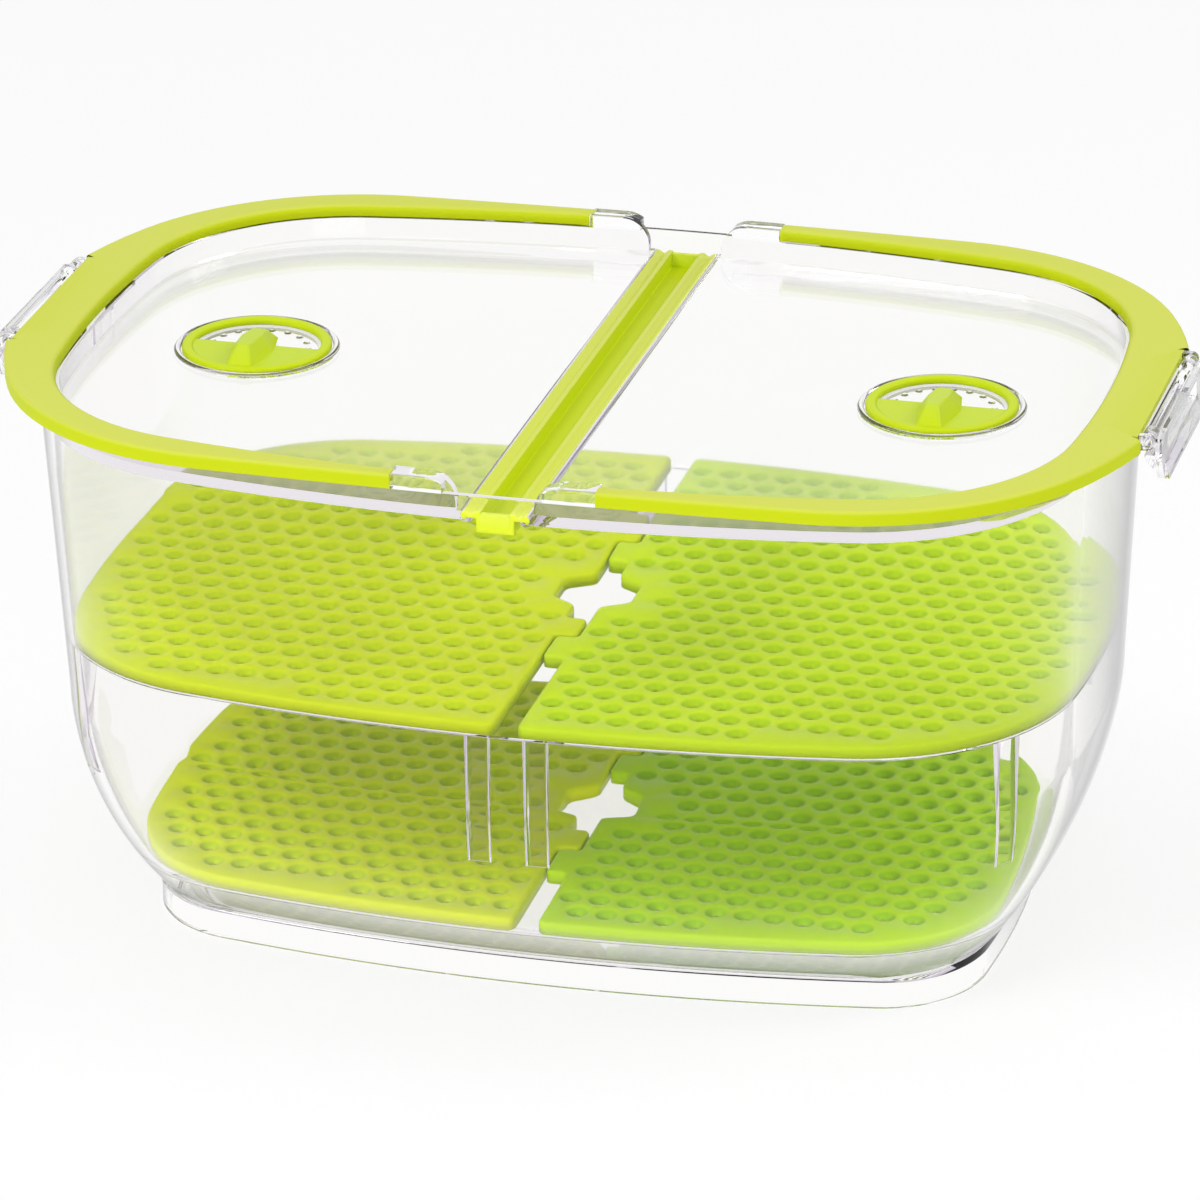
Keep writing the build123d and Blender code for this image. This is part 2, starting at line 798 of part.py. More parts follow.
# Slot centres of one tray: staggered rows, clear of its edges, notches and lug
def slot_points(sizes):
    half_length, half_width, side_radius, end_radius, round_radius = sizes
    inset = tray_slot_margin
    points = []
    rows = int(half_width / (tray_slot_pitch_y / 2)) + 1
    columns = int(half_length / tray_slot_pitch_x) + 1
    for row in range(-rows, rows + 1):
        y = row * tray_slot_pitch_y / 2
        shift = tray_slot_pitch_x / 2 if row % 2 else 0
        for column in range(columns + 1):
            x = tray_split + tray_slot_margin + shift + column * tray_slot_pitch_x
            if abs(y) < notch_half_width + notch_slope and x < tray_split + notch_depth + notch_border:
                continue
            if inside_outline(
                x,
                y,
                half_length - inset,
                half_width - inset,
                side_radius - inset,
                end_radius - inset,
                max(round_radius - inset, slot_corner_least),
            ):
                points.append((x, y))
    return points


# Sizes of the tray outline at a ledge
def tray_sizes(height):
    if height > belly_height:
        share = (height - belly_height) / (rim_height - belly_height)
        inset = upper_wall + tray_clearance
        return (
            tub_half_length + share * (rim_half_length - tub_half_length) - inset,
            tub_half_width + share * (rim_half_width - tub_half_width) - inset,
            side_bow_radius - inset,
            end_bow_radius - inset,
            corner_radius + rim_corner_growth * share - inset,
        )
    inset = belly_inset(height) + lower_wall + tray_clearance
    return (
        tub_half_length - inset,
        tub_half_width - inset,
        side_bow_radius - inset,
        end_bow_radius - inset,
        corner_radius - inset,
    )


# Outline of the right tray, all its edges drawn in by an extra amount
def tray_outline(sizes, drawn_in=0.0):
    half_length, half_width, side_radius, end_radius, round_radius = sizes
    bowed_outline(
        half_length - drawn_in,
        half_width - drawn_in,
        side_radius - drawn_in,
        end_radius - drawn_in,
        round_radius - drawn_in,
    )
    with Locations((tray_split + drawn_in, 0)):
        Rectangle(2 * span, 2 * span, align=(Align.MAX, Align.CENTER), mode=Mode.SUBTRACT)
    with BuildLine() as notch:
        Polyline(
            (0, notch_half_width + drawn_in),
            (tray_split, notch_half_width + drawn_in),
            (tray_split + notch_depth + drawn_in, notch_half_width - notch_slope + drawn_in),
            (tray_split + notch_depth + drawn_in, notch_slope - notch_half_width - drawn_in),
            (tray_split, -notch_half_width - drawn_in),
            (0, -notch_half_width - drawn_in),
            close=True,
        )
    make_face(notch.edges(), mode=Mode.SUBTRACT)
    with Locations((drawn_in + lug_clearance - tray_split, lug_centre)):
        Rectangle(
            2 * tray_split + lug_root,
            2 * (lug_half_width - drawn_in),
            align=(Align.MIN, Align.CENTER),
        )


trays = {}
for level_name, height in (("upper", ledge_height), ("lower", lower_ledge_height)):
    sizes = tray_sizes(height)
    with BuildPart() as tray_right:
        with BuildSketch(Plane.XY.offset(height)):
            tray_outline(sizes)
        extrude(amount=tray_height)
        with BuildSketch(Plane.XY.offset(height)):
            tray_outline(sizes, tray_skirt)
        extrude(amount=tray_height - tray_sheet, mode=Mode.SUBTRACT)
        with BuildSketch(Plane.XY.offset(height)):
            with Locations(slot_points(sizes)):
                Rectangle(tray_slot_length, tray_slot_width)
        extrude(amount=2 * tray_height, mode=Mode.SUBTRACT)
    trays["tray_" + level_name + "_right"] = tray_right.part
    trays["tray_" + level_name + "_left"] = tray_right.part.rotate(Axis.Z, 180)

pieces = {
    "tub": tub.part,
    "lid_right": lid_right.part,
    "lid_left": lid_left.part,
    "rim_seal_right": rim_seal_right.part,
    "rim_seal_left": rim_seal_left.part,
    "hinge_strip": hinge_strip.part,
    "latch_right": latch_right.part,
    "latch_left": latch_left.part,
}
pieces.update(trays)
vent_pieces = {
    "vent_base": vent_base.part,
    "vent_dial": vent_dial.part,
    "vent_ring_seal": vent_ring_seal.part,
    "vent_retainer": vent_retainer.part,
}
for piece_name, shape in vent_pieces.items():
    pieces[piece_name + "_right"] = Location((vent_x, 0, 0)) * shape
    pieces[piece_name + "_left"] = Location((-vent_x, 0, 0)) * shape

for piece_name, shape in pieces.items():
    shape.label = piece_name
    export_step(shape, "parts/" + piece_name + ".step")
    print(piece_name, len(shape.solids()), round(shape.volume), shape.is_valid)
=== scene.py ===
from math import asin, atan2, ceil, cos, hypot, pi, radians, sin, sqrt

import bmesh
import bpy
from mathutils import Matrix, Vector


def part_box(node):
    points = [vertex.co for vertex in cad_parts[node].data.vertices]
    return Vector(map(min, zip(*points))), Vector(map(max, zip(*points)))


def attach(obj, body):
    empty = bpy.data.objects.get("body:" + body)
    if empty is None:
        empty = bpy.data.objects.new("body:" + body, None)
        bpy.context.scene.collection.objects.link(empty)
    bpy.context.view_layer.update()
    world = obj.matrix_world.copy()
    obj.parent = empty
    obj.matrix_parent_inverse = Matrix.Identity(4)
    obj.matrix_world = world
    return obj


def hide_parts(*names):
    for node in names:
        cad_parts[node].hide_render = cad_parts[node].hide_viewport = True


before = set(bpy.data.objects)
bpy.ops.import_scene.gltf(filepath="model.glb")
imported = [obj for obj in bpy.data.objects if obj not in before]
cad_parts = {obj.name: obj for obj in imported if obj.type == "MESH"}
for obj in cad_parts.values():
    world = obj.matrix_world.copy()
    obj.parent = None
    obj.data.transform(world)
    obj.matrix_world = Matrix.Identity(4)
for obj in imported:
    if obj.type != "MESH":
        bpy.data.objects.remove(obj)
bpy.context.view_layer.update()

mm = 0.001               # sizes are in millimetres, and each mesh is scaled to metres once, when it is finished
sides = {"right": 1, "left": -1}

scene = bpy.context.scene
scene.view_settings.view_transform = "Standard"


# places in millimetres, read from the boxes of the parts in model.glb
def boxOf(node):
    low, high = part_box(node)
    return low / mm, high / mm


tubHigh = boxOf("tub")[1]
sealLow, sealHigh = boxOf("rim_seal_right")
stripLow, stripHigh = boxOf("hinge_strip")
baseLow, baseHigh = boxOf("vent_base_right")
dialLow = boxOf("vent_dial_right")[0]
upperLow = boxOf("tray_upper_right")[0]
lowerLow = boxOf("tray_lower_right")[0]

rimHeight = tubHigh.z
lidTop = sealHigh.z
ventX = (baseLow.x + baseHigh.x) / 2


# materials

def newMaterial(name):
    material = bpy.data.materials.new(name)
    material.use_nodes = True
    tree = material.node_tree
    tree.nodes.clear()
    output = tree.nodes.new("ShaderNodeOutputMaterial")
    shader = tree.nodes.new("ShaderNodeBsdfPrincipled")
    tree.links.new(shader.outputs["BSDF"], output.inputs["Surface"])
    return material, tree, shader, output


def bumpFrom(tree, shader, height, distance, strength):
    bump = tree.nodes.new("ShaderNodeBump")
    bump.inputs["Distance"].default_value = distance
    bump.inputs["Strength"].default_value = strength
    tree.links.new(height, bump.inputs["Height"])
    tree.links.new(bump.outputs["Normal"], shader.inputs["Normal"])


def noiseOn(tree, scale, detail):
    place = tree.nodes.new("ShaderNodeTexCoord")
    noise = tree.nodes.new("ShaderNodeTexNoise")
    noise.inputs["Scale"].default_value = scale
    noise.inputs["Detail"].default_value = detail
    tree.links.new(place.outputs["Object"], noise.inputs["Vector"])
    return noise.outputs["Fac"]


clearLook = {
    "ior": 1.49, "roughness": 0.02, "shine": 0.28, "waveScale": 26.0, "waveDepth": 0.00012, "waveStrength": 0.1,
    "passes": 5.5, "afterPasses": (0.84, 0.81, 0.86),
}


# clear moulded plastic: darker where the surface turns edge-on, which is painted shade standing in for the
# dark reflections of such edges; open to the lamps, and open to what has already passed through many walls
def clearPlastic(name, faceColour, edgeShade, edgeStart, edgeEnd):
    material, tree, shader, output = newMaterial(name)
    shader.inputs["Transmission Weight"].default_value = 1.0
    shader.inputs["IOR"].default_value = clearLook["ior"]
    shader.inputs["Roughness"].default_value = clearLook["roughness"]
    shader.inputs["Specular Tint"].default_value = (clearLook["shine"],) * 3 + (1,)
    # painted shade: the base colour darkens towards the parts that turn edge-on
    turned = tree.nodes.new("ShaderNodeLayerWeight")
    turned.inputs["Blend"].default_value = 0.5
    ramp = tree.nodes.new("ShaderNodeValToRGB")
    ramp.color_ramp.elements[0].position = edgeStart
    ramp.color_ramp.elements[0].color = (*faceColour, 1)
    ramp.color_ramp.elements[1].position = edgeEnd
    ramp.color_ramp.elements[1].color = (*edgeShade, 1)
    tree.links.new(turned.outputs["Facing"], ramp.inputs["Fac"])
    tree.links.new(ramp.outputs["Color"], shader.inputs["Base Color"])
    waves = noiseOn(tree, clearLook["waveScale"], 1.0)
    bumpFrom(tree, shader, waves, clearLook["waveDepth"], clearLook["waveStrength"])
    path = tree.nodes.new("ShaderNodeLightPath")
    deep = tree.nodes.new("ShaderNodeMath")
    deep.operation = "GREATER_THAN"
    deep.inputs[1].default_value = clearLook["passes"]
    either = tree.nodes.new("ShaderNodeMath")
    either.operation = "MAXIMUM"
    seeThrough = tree.nodes.new("ShaderNodeBsdfTransparent")
    tint = tree.nodes.new("ShaderNodeMix")
    tint.data_type = "RGBA"
    tint.inputs["A"].default_value = (1, 1, 1, 1)
    tint.inputs["B"].default_value = (*clearLook["afterPasses"], 1)
    choose = tree.nodes.new("ShaderNodeMixShader")
    tree.links.new(path.outputs["Ray Depth"], deep.inputs[0])
    tree.links.new(deep.outputs[0], tint.inputs["Factor"])
    tree.links.new(tint.outputs["Result"], seeThrough.inputs["Color"])
    tree.links.new(path.outputs["Is Shadow Ray"], either.inputs[0])
    tree.links.new(deep.outputs[0], either.inputs[1])
    tree.links.new(either.outputs[0], choose.inputs["Fac"])
    tree.links.new(shader.outputs["BSDF"], choose.inputs[1])
    tree.links.new(seeThrough.outputs["BSDF"], choose.inputs[2])
    tree.links.new(choose.outputs["Shader"], output.inputs["Surface"])
    return material


grain = {"drift": 9.0, "depth": 0.00003, "strength": 0.3}


# moulded or soft green plastic: its colour drifts a little over the piece, with a fine satin grain, and
# where the mesh's own mask says so, it takes a fuller colour, which is painted shade
def greenPlastic(name, colour, deeper, roughness, grainScale, shine=0.14, shadeMask=None, shadeColour=None):
    material, tree, shader, output = newMaterial(name)
    shader.inputs["Roughness"].default_value = roughness
    shader.inputs["Specular IOR Level"].default_value = shine
    mix = tree.nodes.new("ShaderNodeMix")
    mix.data_type = "RGBA"
    mix.inputs["A"].default_value = (*colour, 1)
    mix.inputs["B"].default_value = (*deeper, 1)
    tree.links.new(noiseOn(tree, grain["drift"], 2.0), mix.inputs["Factor"])
    # painted shade: where the mask says so, the colour turns towards the fuller shade colour
    if shadeMask:
        amount = tree.nodes.new("ShaderNodeAttribute")
        amount.attribute_name = shadeMask
        paintedShade = tree.nodes.new("ShaderNodeMix")
        paintedShade.data_type = "RGBA"
        paintedShade.inputs["B"].default_value = (*shadeColour, 1)
        tree.links.new(mix.outputs["Result"], paintedShade.inputs["A"])
        tree.links.new(amount.outputs["Fac"], paintedShade.inputs["Factor"])
        tree.links.new(paintedShade.outputs["Result"], shader.inputs["Base Color"])
    else:
        tree.links.new(mix.outputs["Result"], shader.inputs["Base Color"])
    bumpFrom(tree, shader, noiseOn(tree, grainScale, 2.0), grain["depth"], grain["strength"])
    return material


# colours in linear light; a green has its main colour, the one it drifts to, and the fuller one that is
# painted shade in its dishes or on its sides
colours = {
    "clearFace": (0.972, 0.968, 0.956),
    # the edge colours are painted shade, laid where the clear plastic turns edge-on
    "clearEdgeShade": (0.03, 0.032, 0.03),
    "lidFace": (0.99, 0.99, 0.992),
    "lidEdgeShade": (0.30, 0.31, 0.30),
    # the trays differ by side and by level only through painted light: the left ones are lit more yellow, and
    # the lower ones are brighter to make up for the shade they sit in
    "upper_right": ((0.43, 0.57, 0.012), (0.39, 0.54, 0.006), (0.30, 0.46, 0.001)),
    "upper_left": ((0.46, 0.54, 0.006), (0.43, 0.52, 0.003), (0.36, 0.47, 0.001)),
    "lower_right": ((0.52, 0.77, 0.004), (0.46, 0.71, 0.002), (0.32, 0.58, 0.001)),
    "lower_left": ((0.69, 0.77, 0.004), (0.62, 0.72, 0.003), (0.46, 0.60, 0.001)),
    "seal": ((0.66, 0.71, 0.110), (0.62, 0.67, 0.070), (0.55, 0.64, 0.003)),
    "strip": ((0.67, 0.73, 0.120), (0.62, 0.69, 0.070), (0.63, 0.74, 0.008)),
    "dial": ((0.58, 0.72, 0.045), (0.55, 0.70, 0.030), (0.58, 0.72, 0.003)),
    "rubber": ((0.72, 0.73, 0.70), (0.62, 0.63, 0.60)),
}

tubClear = clearPlastic("tubClear", colours["clearFace"], colours["clearEdgeShade"], 0.73, 0.89)
lidClear = clearPlastic("lidClear", colours["lidFace"], colours["lidEdgeShade"], 0.66, 0.9)
latchClear = clearPlastic("latchClear", colours["lidFace"], colours["lidEdgeShade"], 0.35, 0.85)


def maskedGreen(name, key, roughness, grainScale, shadeMask, shine=0.14):
    colour, deeper, paintedShade = colours[key]
    return greenPlastic(name, colour, deeper, roughness, grainScale, shine, shadeMask, paintedShade)


# the trays take painted shade in their dishes through the dish shade mask
trayGreens = {
    key: maskedGreen("trayGreen_" + key, key, 0.28, 900.0, "dishShade", 0.045)
    for key in ("upper_right", "upper_left", "lower_right", "lower_left")
}
# seal, strip and dial take painted shade on their sides, and their tops stay paler, through the side shade mask
sealGreen = maskedGreen("sealGreen", "seal", 0.48, 1400.0, "sideShade")
stripGreen = maskedGreen("stripGreen", "strip", 0.42, 1400.0, "sideShade")
dialGreen = maskedGreen("dialGreen", "dial", 0.36, 1100.0, "sideShade")
paleRubber = greenPlastic("paleRubber", *colours["rubber"], 0.6, 1200.0)

print("materials made")


# helpers that every piece uses

# turns a bmesh in millimetres into a finished piece that rides its body
def finishPiece(bm, name, material, body, nodes=(), smoothAngle=32.0, flatFrom=None):
    bmesh.ops.scale(bm, vec=(mm, mm, mm), verts=bm.verts)
    mesh = bpy.data.meshes.new(name)
    bm.to_mesh(mesh)
    bm.free()
    mesh.materials.append(material)
    mesh.shade_smooth()
    mesh.set_sharp_from_angle(angle=radians(smoothAngle))
    # large level or upright faces keep their own normals, so that they don't bend what is seen through them
    if flatFrom:
        for face in mesh.polygons:
            if face.area > flatFrom * mm * mm and max(abs(n) for n in face.normal) > 0.9999:
                face.use_smooth = False
    piece = bpy.data.objects.new(name, mesh)
    scene.collection.objects.link(piece)
    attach(piece, body)
    if nodes:
        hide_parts(*nodes)
    return piece


# a painted-shade mask that is 0 on faces that look up and 1 on sides, and 1 on all that lies lower than a
# height, so that the tops stay paler as if lit from above
def markSideShade(bm, lowerThan=None):
    shadeMask = bm.verts.layers.float.new("sideShade")
    bm.normal_update()
    for vert in bm.verts:
        low = lowerThan is not None and vert.co.z < lowerThan
        vert[shadeMask] = 1.0 if low else 1.0 - max(vert.normal.z, 0.0)


# lets the large faces of a piece lead its shading
def steadyShading(piece):
    steady = piece.modifiers.new("steadyShading", "WEIGHTED_NORMAL")
    steady.keep_sharp = True
    steady.weight = 80
    return piece


# the corner arc of a bowed outline: its centre and the angles where it meets the end and the side
def cornerOf(outline):
    halfLength, halfWidth, sideRadius, endRadius, roundRadius = outline
    sideCentre = halfWidth - sideRadius
    endCentre = halfLength - endRadius
    toSide, toEnd = sideRadius - roundRadius, endRadius - roundRadius
    apart = hypot(endCentre, sideCentre)
    along = (toSide ** 2 - toEnd ** 2 + apart ** 2) / (2 * apart)
    across = sqrt(toSide ** 2 - along ** 2)
    ux, uy = endCentre / apart, -sideCentre / apart
    cx, cy = along * ux + across * uy, sideCentre + along * uy - across * ux
    if cx + cy < 0:
        cx, cy = along * ux - across * uy, sideCentre + along * uy + across * ux
    return cx, cy, atan2(cy, cx - endCentre), atan2(cy - sideCentre, cx)


def inset(outline, amount):
    return tuple(size - amount for size in outline)


# a closed edge loop: one quarter is spun as three arcs, then mirrored twice
def addOutline(bm, outline, height, steps=(7, 16, 9)):
    halfLength, halfWidth, sideRadius, endRadius, roundRadius = outline
    cx, cy, endAngle, sideAngle = cornerOf(outline)
    arcs = (
        ((halfLength - endRadius, 0), endAngle, steps[0]),
        ((cx, cy), sideAngle - endAngle, steps[1]),
        ((0, halfWidth - sideRadius), pi / 2 - sideAngle, steps[2]),
    )
    oldEdges = set(bm.edges)
    oldVerts = set(bm.verts)
    tip = bm.verts.new((halfLength, 0, height))
    for centre, turn, count in arcs:
        made = bmesh.ops.spin(bm, geom=[tip], cent=(*centre, height), axis=(0, 0, 1), angle=turn, steps=count)
        tip = [v for v in made["geom_last"] if isinstance(v, bmesh.types.BMVert)][0]
    for axis in ("X", "Y"):
        quarter = [v for v in bm.verts if v not in oldVerts] + [e for e in bm.edges if e not in oldEdges]
        bmesh.ops.mirror(bm, geom=quarter, axis=axis, merge_dist=1e-4)
        bmesh.ops.remove_doubles(bm, verts=[v for v in bm.verts if v not in oldVerts], dist=1e-4)
    return [e for e in bm.edges if e not in oldEdges]


# a skin over a row of (outline, height) loops
def skin(bm, rows, steps=(7, 16, 9)):
    loops = [addOutline(bm, outline, height, steps) for outline, height in rows]
    for near, far in zip(loops, loops[1:]):
        bmesh.ops.bridge_loops(bm, edges=near + far)
    return loops


def closeLoop(bm, edges):
    return bmesh.ops.contextual_create(bm, geom=edges)["faces"]


# keeps what lies beyond a plane and caps the cut
def cutAway(bm, point, normal):
    geometry = bm.verts[:] + bm.edges[:] + bm.faces[:]
    cut = bmesh.ops.bisect_plane(
        bm, geom=geometry, dist=1e-4, plane_co=point, plane_no=normal, clear_inner=True
    )
    rim = [e for e in cut["geom_cut"] if isinstance(e, bmesh.types.BMEdge)]
    bmesh.ops.holes_fill(bm, edges=[e for e in rim if e.is_boundary], sides=0)


# rounds the sharp edges of a copy of a solid
def roundSharp(bm, width, segments, least):
    sharp = [e for e in bm.edges if len(e.link_faces) == 2 and e.calc_face_angle() > radians(least)]
    bmesh.ops.bevel(
        bm, geom=sharp, offset=width, offset_type="OFFSET", segments=segments, profile=0.5,
        affect="EDGES", material=-1, clamp_overlap=True,
    )


# a merged copy of a solid, in millimetres, with its flat faces whole
def copyOfNode(node):
    bm = bmesh.new()
    bm.from_mesh(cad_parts[node].data)
    bmesh.ops.scale(bm, vec=(1 / mm, 1 / mm, 1 / mm), verts=bm.verts)
    bmesh.ops.remove_doubles(bm, verts=bm.verts, dist=0.004)
    bmesh.ops.dissolve_limit(
        bm, angle_limit=radians(0.6), use_dissolve_boundaries=False, verts=bm.verts, edges=bm.edges
    )
    return bm


def boxIn(bm, low, high):
    made = bmesh.ops.create_cube(bm, size=1.0)
    bmesh.ops.scale(bm, vec=[b - a for a, b in zip(low, high)], verts=made["verts"])
    bmesh.ops.translate(bm, vec=[(a + b) / 2 for a, b in zip(low, high)], verts=made["verts"])
    return made["verts"]


# tub, in millimetres: its body, ledges, foot, pads and end shelves

tubSizes = {
    "sideBow": 575.0, "endBow": 397.0, "corner": 64.0, "rimCorner": 66.0,
    "rimLength": 155.6, "rimWidth": 109.6, "bodyLength": 151.5, "bodyWidth": 102.4,
    "bellyHeight": 75.0, "bellyRadius": 95.0, "bellySteps": 12,
    "upperWall": 2.4, "lowerWall": 4.2, "ledge": 91.0, "lowerLedge": 23.0, "lowerLedgeWidth": 3.5,
    "floorTop": 11.0, "floorUnder": 8.0,
    "footLength": 126.5, "footWidth": 73.0, "footCorner": 32.0, "footWall": 2.6, "rimRound": 0.7,
    "padWidth": 7.0, "padDepth": 3.4, "padFoot": 51.0, "padSpacing": 17.0, "padTurn": 35.0,
    # how far a pad's box is set into the wall and past it, how far its foot sinks back, and its round
    "padSet": 0.6, "padRoot": 1.2, "padSink": 2.6, "padRound": 1.5,
    "shelfHalf": 33.0, "shelfThickness": 2.6, "shelfDrop": 0.25, "shelfRound": 0.7,
    "wallLevels": (98.0, 122.0, 146.0), "edge": 0.5, "footEdge": 0.6, "lip": 0.25,
}


def bellyInset(height):
    drop = max(tubSizes["bellyHeight"] - height, 0.0)
    return tubSizes["bellyRadius"] - sqrt(tubSizes["bellyRadius"] ** 2 - drop ** 2)


# the tub's outside at any height above the foot, drawn in by a wall
def tubOutline(height, wall=0.0):
    t = tubSizes
    share = max(height - t["bellyHeight"], 0.0) / (rimHeight - t["bellyHeight"])
    pulled = bellyInset(height) + wall
    return (
        t["bodyLength"] + share * (t["rimLength"] - t["bodyLength"]) - pulled,
        t["bodyWidth"] + share * (t["rimWidth"] - t["bodyWidth"]) - pulled,
        t["sideBow"] - pulled,
        t["endBow"] - pulled,
        t["corner"] + share * (t["rimCorner"] - t["corner"]) - pulled,
    )


def footOutline(amount):
    t = tubSizes
    return inset((t["footLength"], t["footWidth"], t["sideBow"], t["endBow"], t["footCorner"]), amount)


def levelsUp(lowest, count):
    t = tubSizes
    steepest = asin((t["bellyHeight"] - lowest) / t["bellyRadius"])
    return [t["bellyHeight"] - t["bellyRadius"] * sin(steepest * (1 - i / count)) for i in range(count + 1)]


def makeTub():
    t = tubSizes
    wall, lower = t["upperWall"], t["lowerWall"]
    under, edge, footEdge = t["floorUnder"], t["edge"], t["footEdge"]
    shoulder = rimHeight - t["rimRound"]
    bm = bmesh.new()
    # the foot's inside and outside, with its two rims kept a little apart in height
    rows = [(footOutline(t["footWall"]), under), (footOutline(t["footWall"]), footEdge)]
    rows += [(footOutline(t["footWall"] - edge), 0.02), (footOutline(edge), 0.0), (footOutline(0.0), footEdge)]
    rows += [(footOutline(0.0), under - 0.4), (footOutline(-edge), under + 1.2)]
    # outside, rim and inside of the upper wall
    rows += [(tubOutline(z), z) for z in levelsUp(under + 3.2, t["bellySteps"])]
    rows += [(tubOutline(z), z) for z in (*t["wallLevels"], shoulder)]
    rows += [(tubOutline(rimHeight, t["lip"]), rimHeight - 0.2)]
    rows += [(tubOutline(rimHeight, t["rimRound"]), rimHeight)]
    rows += [(tubOutline(rimHeight, wall - t["rimRound"]), rimHeight)]
    rows += [(tubOutline(rimHeight, wall - t["lip"]), rimHeight - 0.2)]
    rows += [(tubOutline(z, wall), z) for z in (shoulder, *reversed(t["wallLevels"]))]
    # ledge of the upper trays, and the thicker wall below it
    ledge = t["ledge"]
    rows += [(tubOutline(ledge + 0.8, wall), ledge + 0.8), (tubOutline(ledge, wall + 0.6), ledge)]
    rows += [(tubOutline(ledge, lower - edge), ledge), (tubOutline(ledge - edge, lower), ledge - edge)]
    # ledge of the lower trays, and the floor
    ledge = t["lowerLedge"]
    rows += [(tubOutline(z, lower), z) for z in reversed(levelsUp(ledge + 0.8, t["bellySteps"]))]
    narrow = lower + t["lowerLedgeWidth"]
    rows += [(tubOutline(ledge, lower + 0.7), ledge), (tubOutline(ledge, narrow - edge), ledge)]
    rows += [(tubOutline(ledge - edge, narrow), ledge - edge)]
    rows += [(tubOutline(t["floorTop"] + 1.5, lower), t["floorTop"] + 1.5)]
    rows += [(tubOutline(t["floorTop"], lower + 1.6), t["floorTop"])]
    loops = skin(bm, rows)
    closeLoop(bm, loops[0])
    closeLoop(bm, loops[-1])
    bmesh.ops.recalc_face_normals(bm, faces=bm.faces)
    # upright pads under the upper trays, rooted in the wall: two at the middle of each side, one at each corner
    wallFace = t["bodyWidth"] - lower
    half = t["padWidth"] / 2
    padTop = t["ledge"] - 0.05
    for sy in (-1, 1):
        for sx in (-1, 1):
            x = sx * t["padSpacing"] / 2
            near, far = wallFace - t["padDepth"] + t["padSet"], wallFace + t["padRoot"]
            low = (x - half, min(sy * near, sy * far), t["padFoot"])
            high = (x + half, max(sy * near, sy * far), padTop)
            makePad(bm, boxIn(bm, low, high), (0, -sy, 0))
            cx, cy, endAngle, sideAngle = cornerOf(tubOutline(t["bellyHeight"]))
            reach = t["corner"] - lower
            low = (reach - t["padDepth"] + t["padSet"], -half, t["padFoot"])
            verts = makePad(bm, boxIn(bm, low, (reach + t["padRoot"], half, padTop)), (-1, 0, 0))
            turn = radians(t["padTurn"]) if sx * sy > 0 else -radians(t["padTurn"])
            spin = Matrix.Rotation(turn if sx > 0 else pi + turn, 4, "Z")
            bmesh.ops.transform(bm, matrix=spin, verts=verts)
            bmesh.ops.translate(bm, vec=(sx * cx, sy * cy, 0), verts=verts)
    # end shelves that the latches close against
    for sx in (-1, 1):
        root = t["rimLength"] - t["upperWall"] + 0.6
        low = (min(sx * root, sx * tubHigh.x), -t["shelfHalf"], rimHeight - 0.2 - t["shelfThickness"])
        high = (max(sx * root, sx * tubHigh.x), t["shelfHalf"], rimHeight - t["shelfDrop"])
        edges = {e for v in boxIn(bm, low, high) for e in v.link_edges}
        bmesh.ops.bevel(
            bm, geom=list(edges), offset=t["shelfRound"], segments=3, profile=0.5, affect="EDGES", material=-1
        )
    return steadyShading(finishPiece(bm, "tubBody", tubClear, "tub", ["tub"]))


# rounds a pad's free edges and sinks its lower end back into the wall
def makePad(bm, verts, inward):
    inward = Vector(inward)
    front = max(v.co.dot(inward) for v in verts)
    low = min(v.co.z for v in verts)
    for v in verts:
        if v.co.dot(inward) > front - 0.1 and v.co.z < low + 0.1:
            v.co -= inward * tubSizes["padSink"]
    known = set(bm.verts) - set(verts)
    edges = []
    for e in {e for v in verts for e in v.link_edges}:
        upright = abs((e.verts[0].co - e.verts[1].co).z) > 5
        if upright and min(v.co.dot(inward) for v in e.verts) > front - 3:
            edges.append(e)
    bmesh.ops.bevel(
        bm, geom=edges, offset=tubSizes["padRound"], segments=5, profile=0.5, affect="EDGES", material=-1
    )
    return [v for v in bm.verts if v not in known]


makeTub()
print("tub made")


# lid leaves, from merged copies of their solids with rounded edges

lidSizes = {"edgeRound": 0.45, "segments": 3, "leastAngle": 40.0}


def makeLid(side):
    bm = copyOfNode("lid_" + side)
    roundSharp(bm, lidSizes["edgeRound"], lidSizes["segments"], lidSizes["leastAngle"])
    return finishPiece(
        bm, "lidLeaf_" + side, lidClear, "leaf_" + side, ["lid_" + side], 40.0, 8.0
    )


for side in sides:
    makeLid(side)
print("lid leaves made")


# soft rim seals

sealSizes = {
    "flangeLength": 172.0, "flangeWidth": 110.0, "flangeSide": 2258.0, "flangeEnd": 143.0, "flangeCorner": 81.7,
    "outerSkirt": 1.6, "well": 4.95, "innerSkirt": 0.12, "innerDrop": 3.4, "plate": 2.4,
    "round": 1.1, "innerRound": 2.0, "latchCut": 166.0, "latchHalf": 34.4, "shadeBelow": 0.7,
}


